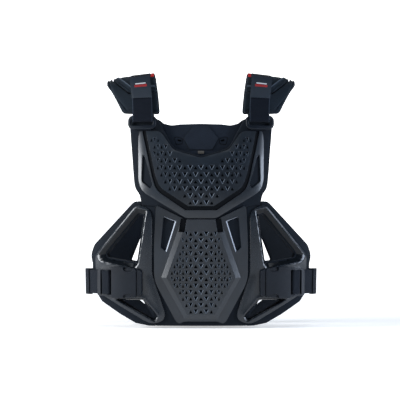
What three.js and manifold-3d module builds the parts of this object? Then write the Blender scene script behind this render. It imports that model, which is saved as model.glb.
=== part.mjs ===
// A roost deflector: a hard and foam guard for chest, belly, sides and back, worn over the shoulders
// and closed at each side by a webbing strap with a side-release buckle.
// Millimetres. +Z is up, -Y is the front, +X is the right hand side as seen from the front.
// The origin is under the crown of the shoulder pads, midway between them, where the shoulders carry it.
import * as THREE from "three";
import { mergeVertices } from "three/addons/utils/BufferGeometryUtils.js";
import Module from "manifold-3d";

const wasm = await Module();
wasm.setup();

// Body foam and hard shells
const foamThickness = 9;
const shellThickness = 3;
const fitGap = 0.8; // between pieces that lie on each other
const bendMerge = 0.4; // a point this near to a bend lies on it
const seamGap = 1.5; // between pieces that lie side by side
const frontHeight = 442; // shoulder tab to bottom edge of the foam
const shoulderDrop = 73; // crown of the shoulders down to the top of the foam
const frontDepth = 130; // middle of the torso to the front of the chest shell
const backDepth = 108; // middle of the torso to the back of the back shell
const chestHalfWidth = 132;
const chestHeight = 183;
const chestInset = 33.5; // top of the foam down to the top of the chest shell
const foamMargin = 20; // foam that shows outside the chest shell at each side
const abdomenHalfWidth = 98;
const abdomenInset = 5; // abdomen shell up from the bottom of the foam
const wingGap = 4.5; // abdomen shell to the wing beside it
const wingSpan = 122;
const wingRise = 27.5; // top of the wings above the bottom of the chest shell
const wingTuck = 6.5; // wing shell lapped over the front foam
const sideTurn = 7; // outer edge of the wings to the widest place of the torso
const backShellHalfWidth = 112;
const backShellHeight = 372;
const backShellInset = 55.5; // top of the foam down to the top of the back shell
const roundness = 2.3; // exponent of the torso's section: 2 is an ellipse, more is squarer

// Relief on the shells
const grooveDepth = 1.4;
const boxRise = 5; // perforated abdomen panel above its shell
const recessDepth = 1.8;
const chestColumnReach = 3;
const abdomenColumnReach = 1;
const chestHoleRows = 6;
const abdomenHoleRows = 13;

// Neck bib
const bibThickness = 6;
const bibHalfWidth = 90;
const bibHeight = 84.5;
const bibInset = 12.5; // top of the foam down to the top of the bib
const bibRise = 2; // emboss behind the tag
const tagSize = { wide: 13, high: 6, thick: 1.2 };

// Shoulders
const strapPlace = 123; // middle plane of the body to the middle of a shoulder strap, at its loop
const crownLean = 6; // how much farther out the strap crosses the crown
const strapWidth = 42;
const strapThickness = 2;
const shoulderRise = 93; // crown down to where the pads hang straight
const basePadThickness = 6.5;
const topPadThickness = 8;
const shoulderSlope = 0.12; // fall of the crown for each millimetre outwards
const tabThickness = 1.4;
const tabLength = 47;
const tabForward = 30; // crown of the shoulder to the upper end of the tab
const redTab = { wide: 7, long: 20, thick: 1.5, forward: 16 };
const loop = { wide: 58.5, high: 30, bar: 6.5, rail: 8.5, thick: 5, drop: 16 };

// Waist strap and buckle
const webbingWidth = 50;
const webbingThickness = 1.8;
const buckleHeight = 424; // crown of the shoulders down to the middle of the buckle
const socket = { inner: 133, body: 50, wide: 65, thick: 11.5, wall: 2.4, notch: 16, notchDepth: 8 };
const ladder = { slot: 8, centreBar: 6, outerBar: 7, low: 6.4, high: 10.4 };
const plug = { base: 10, wide: 57, thick: 9, prong: 7, clear: 0.6, button: 13, guide: 6 };
const keeper = { long: 19, wall: 1.5 };
const strapLap = 62; // waist strap sewn flat on the back wing
const webbingBend = 3;
const webbingTail = 6; // free end beyond the keeper

// Surfaces that follow from the sizes above
const foamHalfWidth = chestHalfWidth + foamMargin;
const foamTop = -shoulderDrop;
const foamBottom = foamTop - frontHeight;
const wingInner = abdomenHalfWidth + wingGap;
const foamWaist = wingInner - wingTuck;
const wingOuter = wingInner + wingSpan * 1.085;
const chestTop = foamTop - chestInset;
const chestReach = chestInset + chestHeight;
const wingTop = foamTop - chestReach + wingRise;
const abdomenBottom = foamBottom + abdomenInset;
const wingHeight = wingTop - abdomenBottom;
const waistHalfWidth = wingOuter + sideTurn;
const foamOut = -shellThickness - fitGap;
const foamIn = foamOut - foamThickness;
const buckleMiddle = -buckleHeight;

// The torso at heights given as shares of the front's height below the foam's top: its half width, as
// millimetres outside the chest foam or as a share of the way to the waist, and its depths as shares.
const torsoLevels = [
  { down: -0.1, beside: 66, waist: 0, front: 0.66, back: 0.74 },
  { down: 0.0, beside: 63, waist: 0, front: 0.75, back: 0.8 },
  { down: 0.1, beside: 52, waist: 0, front: 0.84, back: 0.89 },
  { down: 0.22, beside: 38, waist: 0, front: 0.95, back: 0.97 },
  { down: 0.36, beside: 35, waist: 0.1, front: 1.0, back: 1.0 },
  { down: 0.5, beside: 35, waist: 0.6, front: 0.985, back: 0.94 },
  { down: 0.62, beside: 35, waist: 1, front: 0.965, back: 0.9 },
  { down: 0.8, beside: 35, waist: 1, front: 0.94, back: 0.9 },
  { down: 1.0, beside: 35, waist: 1, front: 0.9, back: 0.93 },
];

// A smooth curve through the rows of a table, read at one place in its key column.
function readTable(rows, key, value, at) {
  const place = Math.min(Math.max(at, rows[0][key]), rows.at(-1)[key]);
  const next = Math.max(1, rows.findIndex((row) => row[key] >= place));
  const [low, high] = [rows[next - 1], rows[next]];
  const slopeAt = (index) => {
    const before = rows[Math.max(index - 1, 0)];
    const after = rows[Math.min(index + 1, rows.length - 1)];
    return (value(after) - value(before)) / (after[key] - before[key]);
  };
  const span = high[key] - low[key];
  const t = (place - low[key]) / span;
  const [startSlope, endSlope] = [slopeAt(next - 1) * span, slopeAt(next) * span];
  return (
    value(low) * (1 + 2 * t) * (1 - t) ** 2 +
    startSlope * t * (1 - t) ** 2 +
    value(high) * t * t * (3 - 2 * t) +
    endSlope * t * t * (t - 1)
  );
}

function torsoAt(z) {
  const down = (foamTop - z) / frontHeight;
  const halfWidth = readTable(torsoLevels, "down", (row) => {
    const chest = foamHalfWidth + row.beside;
    return chest + (waistHalfWidth - chest) * row.waist;
  }, down);
  return {
    halfWidth,
    front: frontDepth * readTable(torsoLevels, "down", (row) => row.front, down),
    back: backDepth * readTable(torsoLevels, "down", (row) => row.back, down),
  };
}

// Depth of the hard shells' outer face at a place across and up the torso.
function faceDepth(x, z, toFront) {
  const torso = torsoAt(z);
  const share = Math.min(Math.abs(x) / torso.halfWidth, 0.9995);
  return (toFront ? torso.front : torso.back) * (1 - share ** roundness) ** (1 / roundness);
}

// Levels at which a piece on the torso is bent: at even steps round the girth, and at the table's rows.
const girthSteps = 12;
const girthBends = range(1, girthSteps - 1, girthSteps - 1).map((step) =>
  waistHalfWidth * Math.sin((Math.PI / 2) * (step / girthSteps)) ** (2 / roundness));
const torsoBends = [
  [...girthBends.map((level) => -level), 0, ...girthBends],
  torsoLevels.map((row) => foamTop - row.down * frontHeight),
];

// Lays a flat point (across, up, out) on the torso's front or back. Out is measured along the surface's
// normal from the outer face of the hard shells.
function onTorso(side, toFront) {
  const reach = 0.2;
  const place = ([across, up, out]) => {
    const depth = faceDepth(across, up, toFront);
    const slopeX = (faceDepth(across + reach, up, toFront) - depth) / reach;
    const slopeZ = (faceDepth(across, up + reach, toFront) - depth) / reach;
    const normal = new THREE.Vector3(-slopeX, 1, -slopeZ).normalize();
    const forward = toFront ? -1 : 1;
    return [
      side * (across + normal.x * out),
      forward * (depth + normal.y * out),
      up + normal.z * out,
    ];
  };
  return { place, bends: torsoBends };
}
const onFront = onTorso(1, true);
const onBack = onTorso(1, false);

// Solids are cut and joined flat, then laid on the torso.
function toSolid(geometry) {
  const bare = geometry.clone();
  bare.deleteAttribute("normal");
  bare.deleteAttribute("uv");
  const merged = mergeVertices(bare, 1e-4);
  return new wasm.Manifold(
    new wasm.Mesh({
      numProp: 3,
      vertProperties: merged.attributes.position.array,
      triVerts: new Uint32Array(merged.index.array),
    }),
  );
}

function toShape(outline) {
  return new THREE.Shape(outline.map(([x, y]) => new THREE.Vector2(x, y)));
}

function prism(outline, low, high) {
  const geometry = new THREE.ExtrudeGeometry(toShape(outline), {
    depth: high - low,
    bevelEnabled: false,
  });
  return toSolid(geometry.translate(0, 0, low));
}

// A solid between one outline at a low level and another, with as many points, at a high level.
function tapered(lowOutline, low, highOutline, high) {
  const turned = THREE.ShapeUtils.isClockWise(lowOutline.map(([x, y]) => new THREE.Vector2(x, y)));
  const lows = turned ? [...lowOutline].reverse() : lowOutline;
  const highs = turned ? [...highOutline].reverse() : highOutline;
  const count = lows.length;
  const positions = [...lows.map(([x, y]) => [x, y, low]), ...highs.map(([x, y]) => [x, y, high])];
  const caps = (outline) =>
    THREE.ShapeUtils.triangulateShape(outline.map(([x, y]) => new THREE.Vector2(x, y)), []);
  const faces = [
    ...caps(lows).map(([a, b, c]) => [a, c, b]),
    ...caps(highs).map((face) => face.map((corner) => corner + count)),
  ];
  for (let i = 0; i < count; i += 1) {
    const next = (i + 1) % count;
    faces.push([i, next, next + count], [i, next + count, i + count]);
  }
  const geometry = new THREE.BufferGeometry();
  geometry.setAttribute("position", new THREE.Float32BufferAttribute(positions.flat(), 3));
  geometry.setIndex(faces.flat());
  return toSolid(geometry);
}

// Rounds the corners of an outline whose points are [across, up, radius]: two steps for hard pieces, one
// for soft ones.
const softSteps = 1;
function rounded(points, steps = 2) {
  return points.flatMap(([x, y, radius = 0], i) => {
    if (radius === 0) return [[x, y]];
    const corner = new THREE.Vector2(x, y);
    const towards = (other) => {
      const edge = new THREE.Vector2(other[0], other[1]).sub(corner);
      const reach = Math.min(radius, edge.length() * 0.45);
      return corner.clone().add(edge.setLength(reach));
    };
    const start = towards(points.at(i - 1));
    const end = towards(points[(i + 1) % points.length]);
    const curve = new THREE.QuadraticBezierCurve(start, corner, end);
    return curve.getPoints(steps).map((point) => [point.x, point.y]);
  });
}

// The whole of an outline that is given for one half, from the middle outwards and back to the middle.
function mirrored(half) {
  const other = half.filter(([x]) => x > 0).map(([x, ...rest]) => [-x, ...rest]);
  return [...half, ...other.reverse()];
}

function faceNormal(points, [a, b, c]) {
  const corner = new THREE.Vector3(...points[a]);
  const one = new THREE.Vector3(...points[b]).sub(corner);
  const two = new THREE.Vector3(...points[c]).sub(corner);
  return one.cross(two);
}

// Cuts every face that crosses a level of one axis, and adds the points where its edges cross it.
function cutFaces(points, faces, axis, level) {
  const offsetOf = (corner) => {
    const offset = points[corner][axis] - level;
    return Math.abs(offset) < bendMerge ? 0 : offset;
  };
  const made = new Map();
  const cutBetween = (a, b) => {
    const [low, high] = [Math.min(a, b), Math.max(a, b)];
    const key = `${low}_${high}`;
    if (!made.has(key)) {
      const share = offsetOf(low) / (offsetOf(low) - offsetOf(high));
      made.set(key, points.length);
      points.push(points[low].map((value, i) => value + (points[high][i] - value) * share));
    }
    return made.get(key);
  };
  return faces.flatMap((face) => {
    const offsets = face.map(offsetOf);
    if (Math.min(...offsets) >= 0 || Math.max(...offsets) <= 0) return [face];
    const lone = offsets.findIndex((offset, i) =>
      offset !== 0 && offset * offsets[(i + 1) % 3] <= 0 && offset * offsets[(i + 2) % 3] <= 0);
    const [a, b, c] = [face[lone], face[(lone + 1) % 3], face[(lone + 2) % 3]];
    const ab = offsetOf(b) === 0 ? b : cutBetween(a, b);
    const ac = offsetOf(c) === 0 ? c : cutBetween(a, c);
    const pieces = [[a, ab, ac], [ab, b, c], [ab, c, ac]];
    return pieces.filter(([p, q, r]) => p !== q && q !== r && r !== p);
  });
}

function bendsAt(point, bends) {
  return [0, 1].filter((axis) =>
    bends[axis].some((level) => Math.abs(point[axis] - level) < bendMerge));
}

// Slides each point that only lies on one bend, inside a flat face, along that bend into a neighbour.
function dropSpares(points, faces, bends) {
  const around = points.map(() => new Set());
  faces.forEach((face, index) => face.forEach((corner) => around[corner].add(index)));
  const neighboursOf = (corner) =>
    new Set([...around[corner]].flatMap((index) => faces[index]).filter((other) => other !== corner));
  points.forEach((point, spare) => {
    const [axis, crossing] = bendsAt(point, bends);
    if (axis === undefined || crossing !== undefined) return;
    const own = [...around[spare]];
    const normals = own.map((index) => faceNormal(points, faces[index]).normalize());
    if (normals.some((normal) => normal.dot(normals[0]) < 0.9999)) return;
    const target = [...neighboursOf(spare)].find((other) => {
      if (Math.abs(points[other][axis] - point[axis]) > bendMerge) return false;
      const shared = [...neighboursOf(other)].filter((corner) => neighboursOf(spare).has(corner));
      if (shared.length !== 2) return false;
      return own.every((index, i) => {
        if (faces[index].includes(other)) return true;
        const moved = faces[index].map((corner) => (corner === spare ? other : corner));
        const normal = faceNormal(points, moved);
        return normal.length() > 0.5 && normal.normalize().dot(normals[i]) > 0.999;
      });
    });
    if (target === undefined) return;
    for (const index of own) {
      if (faces[index].includes(target)) {
        faces[index].forEach((corner) => around[corner].delete(index));
        faces[index] = [];
      } else {
        faces[index] = faces[index].map((corner) => (corner === spare ? target : corner));
        around[target].add(index);
      }
    }
    around[spare].clear();
  });
  return faces.filter((face) => face.length === 3);
}

// Turns the edge shared by two faces in one plane to the way that stands farther out once it is laid,
// so that pieces that lie on each other bend alike.
function turnEdges(points, faces, placed, bends) {
  const edges = new Map();
  const addFace = (index) =>
    faces[index].forEach((a, i) => edges.set(`${a}_${faces[index][(i + 1) % 3]}`, index));
  faces.forEach((face, index) => addFace(index));
  const sameWay = (normal, face) => {
    const other = faceNormal(points, face);
    return other.length() > 0.5 && other.normalize().dot(normal) > 0.9999;
  };
  const onOneBend = (a, b) => bendsAt(points[a], bends).some((axis) =>
    Math.abs(points[a][axis] - points[b][axis]) < bendMerge);
  const standOut = (a, b) => Math.abs(placed[a][1] + placed[b][1]);
  for (const [edge, index] of [...edges]) {
    const [a, b] = edge.split("_").map(Number);
    const other = edges.get(`${b}_${a}`);
    if (a > b || edges.get(edge) !== index || onOneBend(a, b)) continue;
    const c = faces[index].find((corner) => corner !== a && corner !== b);
    const d = faces[other].find((corner) => corner !== a && corner !== b);
    if (edges.has(`${c}_${d}`) || standOut(c, d) <= standOut(a, b)) continue;
    const normal = faceNormal(points, faces[index]).normalize();
    if (![faces[other], [c, a, d], [d, b, c]].every((face) => sameWay(normal, face))) continue;
    edges.delete(edge);
    edges.delete(`${b}_${a}`);
    faces[index] = [c, a, d];
    faces[other] = [d, b, c];
    addFace(index);
    addFace(other);
  }
}

// Bends a flat solid: its faces are cut at the bends, then every point is put in its place.
function laid(solid, { place, bends }) {
  const mesh = solid.getMesh();
  const rowsOfThree = (list) =>
    Array.from({ length: list.length / 3 }, (_, i) => [...list.slice(3 * i, 3 * i + 3)]);
  const points = rowsOfThree(mesh.vertProperties);
  let faces = rowsOfThree(mesh.triVerts);
  bends.forEach((levels, axis) => {
    for (const level of levels) faces = cutFaces(points, faces, axis, level);
  });
  for (let count = Infinity; faces.length < count; ) {
    count = faces.length;
    faces = dropSpares(points, faces, bends);
  }
  const placed = points.map(place);
  turnEdges(points, faces, placed, bends);
  const volume = faces.reduce((sum, [a, b, c]) => {
    const [p, q, r] = [a, b, c].map((corner) => new THREE.Vector3(...placed[corner]));
    return sum + p.dot(q.cross(r));
  }, 0);
  const geometry = new THREE.BufferGeometry();
  geometry.setAttribute("position", new THREE.Float32BufferAttribute(placed.flat(), 3));
  geometry.setIndex(faces.flatMap(([a, b, c]) => (volume > 0 ? [a, b, c] : [a, c, b])));
  geometry.computeVertexNormals();
  return geometry;
}

function joined(...solids) {
  return solids.reduce((whole, next) => whole.add(next));
}

function carved(solid, ...cuts) {
  return cuts.reduce((whole, cut) => whole.subtract(cut), solid);
}

const guard = new THREE.Group();

const finishes = {
  shell: { color: 0x24282d, roughness: 0.42 },
  foam: { color: 0x14181d, roughness: 0.9 },
  bib: { color: 0x1a1f26, roughness: 0.85 },
  webbing: { color: 0x12161c, roughness: 0.8 },
  hookAndLoop: { color: 0x0a0d13, roughness: 1 },
  tab: { color: 0x23282e, roughness: 0.6 },
  hardware: { color: 0x1c1f23, roughness: 0.5 },
  red: { color: 0xa81c1c, roughness: 0.7 },
  tag: { color: 0x6b6660, roughness: 0.5 },
};

const [front, back, shoulders, waist] = Array.from({ length: 4 }, () => new THREE.Group());
guard.add(front, back, shoulders, waist);

function addPart(assembly, name, finish, geometry) {
  const material = new THREE.MeshStandardMaterial({ metalness: 0, ...finishes[finish] });
  const mesh = new THREE.Mesh(geometry, material);
  mesh.name = name;
  assembly.add(mesh);
}

const sides = [
  { side: 1, label: "right" },
  { side: -1, label: "left" },
];

// Chest shell. Columns are shares of its half width and height; round is a corner radius.
const chestRows = [
  { across: 0, down: 0.308 },
  { across: 0.05, down: 0.303, round: 5 },
  { across: 0.396, down: 0.23, round: 8 },
  { across: 0.452, down: 0.205, round: 6 },
  { across: 0.646, down: 0, round: 12 },
  { across: 0.985, down: 0, round: 6 },
  { across: 1, down: 0.12 },
  { across: 0.998, down: 0.574, round: 10 },
  { across: 0.939, down: 0.695, round: 16 },
  { across: 0.692, down: 0.802 },
  { across: 0.2545, down: 0.992, round: 6 },
  { across: 0.2, down: 1 },
  { across: 0, down: 1 },
];
const grooveOuterRows = [
  { across: 0.942, down: -0.02 },
  { across: 0.775, down: 0.534 },
  { across: 0.711, down: 0.682, round: 14 },
  { across: 0.25, down: 0.909 },
  { across: 0, down: 0.909 },
];
const grooveInnerRows = [
  { across: 0.885, down: -0.02 },
  { across: 0.726, down: 0.505 },
  { across: 0.658, down: 0.646, round: 12 },
  { across: 0.202, down: 0.862 },
  { across: 0, down: 0.862 },
];
const chestWindowRows = [
  { across: 0.926, down: 0.29, round: 3 },
  { across: 0.9, down: 0.305, round: 2 },
  { across: 0.778, down: 0.612, round: 4 },
  { across: 0.803, down: 0.65, round: 4 },
  { across: 0.937, down: 0.574, round: 4 },
];

function atShares(rows, halfWidth, top, height) {
  return rows.map(({ across, down, round = 0 }) => [
    across * halfWidth,
    top - down * height,
    round,
  ]);
}

function onChest(rows) {
  return atShares(rows, chestHalfWidth, chestTop, chestHeight);
}

function insidePolygon([x, y], polygon) {
  return polygon.reduce((inside, [x1, y1], i) => {
    const [x2, y2] = polygon.at(i - 1);
    const crosses = y1 > y !== y2 > y && x < ((x2 - x1) * (y - y1)) / (y2 - y1) + x1;
    return crosses ? !inside : inside;
  }, false);
}

// Distance of a hole's column from the middle, with a wide pitch there and a fine one outside.
function columnPlace(column, pitch) {
  let place = 0;
  for (let step = 0.5; step < Math.abs(column); step += 1) {
    place += pitch.outer + (pitch.middle - pitch.outer) / (1 + (step / pitch.fade) ** 4);
  }
  return Math.sign(column) * place;
}

// Triangular holes that point down and up in turn, as many as fit inside a field.
function triangleHoles({ rows, reach, top, rowPitch, pitch, firstDown, field }) {
  const holes = [];
  for (let row = 0; row < rows; row += 1) {
    for (let column = -reach; column <= reach; column += 1) {
      const x = columnPlace(column, pitch);
      const z = top - row * rowPitch;
      const room = Math.abs(columnPlace(Math.abs(column) + 1, pitch)) - Math.abs(x);
      const halfWidth = room * 0.43;
      const halfHeight = rowPitch * 0.31;
      const pointsDown = (Math.abs(column) + row) % 2 === (firstDown ? 0 : 1);
      const base = pointsDown ? z + halfHeight : z - halfHeight;
      const tip = pointsDown ? z - halfHeight : z + halfHeight;
      const hole = [[x - halfWidth, base], [x + halfWidth, base], [x, tip]];
      if (hole.every((corner) => insidePolygon(corner, field))) holes.push(hole);
    }
  }
  return holes;
}

function chestShell() {
  const outline = rounded(mirrored(onChest(chestRows)));
  const plate = prism(outline, -shellThickness, 0);
  const groove = carved(
    prism(rounded(mirrored(onChest(grooveOuterRows))), -grooveDepth, 1),
    prism(rounded(mirrored(onChest(grooveInnerRows))), -grooveDepth - 1, 2),
  );
  const fieldRows = [
    { across: 0, down: 0.37 },
    { across: 0.45, down: 0.29 },
    { across: 0.8, down: 0.05 },
    { across: 0.68, down: 0.52 },
    { across: 0.6, down: 0.66 },
    { across: 0.17, down: 0.84 },
    { across: 0, down: 0.84 },
  ];
  const rowPitch = chestHeight * 0.08;
  const holes = triangleHoles({
    rows: chestHoleRows,
    reach: chestColumnReach,
    top: chestTop - chestHeight * 0.425,
    rowPitch,
    pitch: { middle: chestHalfWidth * 0.085, outer: chestHalfWidth * 0.042, fade: 7.5 },
    firstDown: true,
    field: mirrored(onChest(fieldRows)),
  });
  const cuts = holes.map((hole) => prism(hole, -shellThickness - 1, 1));
  const window = onChest(chestWindowRows);
  for (const { side } of sides) {
    const opening = rounded(window.map(([x, y, r]) => [side * x, y, r]));
    cuts.push(prism(opening, -shellThickness - 1, 1));
  }
  return laid(carved(plate, groove, ...cuts), onFront);
}
addPart(front, "chest_shell", "shell", chestShell());

// Abdomen shell. Its top edge follows the chest shell's lower edge.
function chestLowerEdge(across) {
  const edge = onChest(chestRows.slice(chestRows.findIndex((row) => row.down > 0.75)));
  const next = edge.findIndex(([x]) => x <= across);
  if (next <= 0) return edge[Math.max(next, 0)][1];
  const [[x1, z1], [x2, z2]] = [edge[next - 1], edge[next]];
  return z1 + ((z2 - z1) * (across - x1)) / (x2 - x1);
}
function abdomenTopEdge(across) {
  const flare = 9.5; // the seam under the chest shell opens outwards
  return chestLowerEdge(across) - seamGap - (flare * across) / abdomenHalfWidth;
}
const abdomenCorner = abdomenTopEdge(abdomenHalfWidth * 0.93);
const abdomenHeight = abdomenCorner - abdomenBottom;
const abdomenSideRows = [
  { across: 0.965, down: 0.015, round: 5 },
  { across: 0.98, down: 0.16 },
  { across: 1, down: 0.33 },
  { across: 0.998, down: 0.6, round: 10 },
  { across: 0.955, down: 0.668, round: 10 },
  { across: 0.535, down: 0.98, round: 6 },
  { across: 0.47, down: 1, round: 5 },
  { across: 0.35, down: 0.98, round: 4 },
  { across: 0, down: 0.98 },
];
const boxOuterRows = [
  { across: 0.422, down: 0.1 },
  { across: 0.857, down: 0.607 },
  { across: 0.35, down: 0.965 },
  { across: 0, down: 0.965 },
];
const boxInnerRows = [
  { across: 0.287, down: 0.1 },
  { across: 0.729, down: 0.607 },
  { across: 0.292, down: 0.923 },
  { across: 0, down: 0.923 },
];
const boxRecessRows = [
  { across: 0.43, down: 0.108 },
  { across: 0.3, down: 0.108 },
  { across: 0.345, down: 0.225 },
  { across: 0.475, down: 0.22 },
];
const slotOuterRows = [
  { across: 0.8, down: 0.086 },
  { across: 0.505, down: 0.13 },
  { across: 0.72, down: 0.395 },
  { across: 0.865, down: 0.355 },
];
const slotInnerRows = [
  { across: 0.79, down: 0.096 },
  { across: 0.56, down: 0.132 },
  { across: 0.757, down: 0.38 },
  { across: 0.85, down: 0.348 },
];

function onAbdomen(rows) {
  return atShares(rows, abdomenHalfWidth, abdomenCorner, abdomenHeight);
}

// The raised panel's outline, closed along a level just under the shell's top edge.
function abdomenBox(rows, top) {
  return mirrored([[0, top], ...onAbdomen(rows).map(([x, y], i) => [x, i === 0 ? top : y])]);
}

function abdomenShell() {
  const topPoints = [0, 0.33, 0.93].map((share) => {
    const across = share * abdomenHalfWidth;
    return [across, abdomenTopEdge(across), 0];
  });
  const outline = rounded(mirrored([...topPoints, ...onAbdomen(abdomenSideRows)]));
  const boxTop = abdomenTopEdge(0) - 1;
  const box = tapered(
    abdomenBox(boxOuterRows, boxTop), -0.5,
    abdomenBox(boxInnerRows, boxTop), boxRise,
  );
  const pocketRows = boxInnerRows.map(({ across, down }) => ({ across: across * 0.97, down }));
  const pocket = prism(
    abdomenBox(pocketRows, boxTop - shellThickness), -shellThickness - 1, boxRise - shellThickness,
  );
  const recessOf = (side) => {
    const recess = onAbdomen(boxRecessRows).map(([x, y]) => [side * x, y]);
    return prism(recess, -recessDepth, boxRise + 1);
  };
  const slotOf = (side) => {
    const turn = (rows) => onAbdomen(rows).map(([x, y]) => [side * x, y]);
    return [
      tapered(turn(slotInnerRows), -shellThickness * 0.8, turn(slotOuterRows), 0.01),
      prism(turn(slotInnerRows), -shellThickness - 1, 1),
    ];
  };
  const rowPitch = abdomenHeight * 0.0548;
  const field = boxInnerRows.map(({ across, down }) => ({ across: across - 0.02, down }));
  const holes = triangleHoles({
    rows: abdomenHoleRows,
    reach: abdomenColumnReach,
    top: abdomenCorner - abdomenHeight * 0.237,
    rowPitch,
    pitch: { middle: abdomenHalfWidth * 0.111, outer: abdomenHalfWidth * 0.055, fade: 2.8 },
    firstDown: false,
    field: abdomenBox(field, boxTop),
  });
  const cuts = holes.map((hole) => prism(hole, -shellThickness - 1, boxRise + 1));
  cuts.push(recessOf(1), recessOf(-1), ...slotOf(1), ...slotOf(-1));
  return laid(carved(joined(prism(outline, -shellThickness, 0), box), pocket, ...cuts), onFront);
}
addPart(front, "abdomen_shell", "shell", abdomenShell());

// Front foam, with its shoulder tabs, neck line and waist. Down is a share of the way from the foam's top
// to the bottom of the chest shell.
const foamRows = [
  { across: 0, down: 0.396 },
  { across: 0.042, down: 0.39, round: 5 },
  { across: 0.35, down: 0.323, round: 8 },
  { across: 0.406, down: 0.291, round: 6 },
  { across: 0.574, down: 0.074 },
  { across: 0.651, down: 0, round: 8 },
  { across: 0.94, down: 0, round: 12 },
  { across: 1, down: 0.061, round: 12 },
  { across: 1, down: 0.122 },
  { across: 0.96, down: 0.533 },
  { across: 0.937, down: 0.704, round: 14 },
  { across: 0.863, down: 0.77, round: 6 },
  { across: 0.836, down: 0.852 },
];

function frontFoam() {
  const upper = atShares(foamRows, foamHalfWidth, foamTop, chestReach);
  const waistTop = wingTop - fitGap * 2;
  const lower = [
    [foamHalfWidth * 0.833, waistTop],
    [foamWaist, waistTop - seamGap],
    [foamWaist, foamBottom],
    [0, foamBottom],
  ];
  const outline = rounded(mirrored([...upper, ...lower]), softSteps);
  return laid(prism(outline, foamIn, foamOut), onFront);
}
addPart(front, "front_foam", "foam", frontFoam());

// Neck bib, behind the foam's neck line, with a raised shield, two slots and a small bare tag.
const bibTop = foamTop - bibInset;
const bibOut = foamIn - 2 * fitGap;
const bibRows = [
  { across: 0, down: 0.025 },
  { across: 0.49, down: 0.04 },
  { across: 0.71, down: 0.07, round: 5 },
  { across: 0.93, down: 0.01, round: 5 },
  { across: 1, down: 0.03, round: 4 },
  { across: 0.755, down: 0.625, round: 6 },
  { across: 0.61, down: 0.81, round: 8 },
  { across: 0, down: 1.025 },
];
const shieldRows = [
  { across: 0, down: 0.07 },
  { across: 0.2, down: 0.085 },
  { across: 0.434, down: 0.4 },
  { across: 0.28, down: 0.689 },
  { across: 0, down: 0.689 },
];
const bibSlotRows = [
  { across: 0.47, down: 0.43 },
  { across: 0.56, down: 0.41 },
  { across: 0.565, down: 0.455 },
  { across: 0.475, down: 0.475 },
];

function neckBib() {
  const onBib = (rows) => atShares(rows, bibHalfWidth, bibTop, bibHeight);
  const plate = prism(rounded(mirrored(onBib(bibRows))), bibOut - bibThickness, bibOut);
  const shield = prism(mirrored(onBib(shieldRows)), bibOut - 1, bibOut + bibRise);
  const slots = sides.map(({ side }) => {
    const slot = onBib(bibSlotRows).map(([x, y]) => [side * x, y]);
    return prism(slot, bibOut - bibThickness - 1, bibOut + 1);
  });
  return laid(carved(joined(plate, shield), ...slots), onFront);
}
addPart(front, "neck_bib", "bib", neckBib());

function neckTag() {
  const { wide, high, thick } = tagSize;
  const middle = bibTop - bibHeight * 0.744;
  const outline = mirrored([[0, middle + high / 2], [wide / 2, middle + high / 2],
    [wide / 2, middle - high / 2], [0, middle - high / 2]]);
  const low = bibOut + fitGap;
  return laid(prism(outline, low, low + thick), onFront);
}
addPart(front, "neck_tag", "tag", neckTag());

// Wings. Out is a share of the wing's span from its inner edge, down a share of its height.
const wingRows = [
  { out: 0.3, down: 0.01, round: 5 },
  { out: 0.22, down: 0, round: 4 },
  { out: 0.11, down: 0.02, round: 8 },
  { out: 0.03, down: 0.05, round: 5 },
  { out: 0, down: 0.1 },
  { out: 0, down: 0.5, round: 20 },
  { out: 0.0, down: 0.58, round: 12 },
  { out: -0.23, down: 0.92, round: 8 },
  { out: -0.2, down: 0.97, round: 6 },
  { out: -0.1, down: 0.995, round: 6 },
  { out: 0.02, down: 1, round: 8 },
  { out: 0.16, down: 0.97 },
  { out: 0.61, down: 0.84 },
  { out: 0.92, down: 0.75, round: 10 },
  { out: 0.995, down: 0.55 },
  { out: 1, down: 0.45, round: 6 },
  { out: 0.975, down: 0.41, round: 4 },
];
const wingFoamRows = [
  { out: 1.035, down: 0.338, round: 6 },
  { out: 0.345, down: -0.022, round: 6 },
  { out: 0.29, down: -0.035, round: 4 },
  { out: 0.21, down: -0.022 },
];
const wingFoamLowerRows = [
  { out: 0.065, down: 1.019 },
  { out: 0.29, down: 0.996 },
  { out: 0.56, down: 0.92 },
  { out: 0.885, down: 0.815 },
  { out: 0.965, down: 0.76, round: 8 },
  { out: 1.055, down: 0.637 },
  { out: 1.065, down: 0.5 },
  { out: 1.1, down: 0.43, round: 8 },
];
const frontWindows = [
  {
    outer: [
      { out: 0.26, down: 0.03 },
      { out: 0.1, down: 0.05 },
      { out: 0.24, down: 0.5 },
      { out: 0.29, down: 0.53 },
      { out: 0.9, down: 0.47 },
      { out: 0.935, down: 0.425 },
    ],
    inner: [
      { out: 0.245, down: 0.075 },
      { out: 0.155, down: 0.085 },
      { out: 0.265, down: 0.465 },
      { out: 0.305, down: 0.485 },
      { out: 0.79, down: 0.445 },
      { out: 0.825, down: 0.415 },
    ],
  },
  {
    outer: [
      { out: 0.62, down: 0.795 },
      { out: 0.15, down: 0.79 },
      { out: -0.1, down: 0.935 },
      { out: -0.045, down: 0.977 },
    ],
    inner: [
      { out: 0.575, down: 0.805 },
      { out: 0.17, down: 0.803 },
      { out: -0.065, down: 0.937 },
      { out: -0.037, down: 0.959 },
    ],
  },
];
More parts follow.
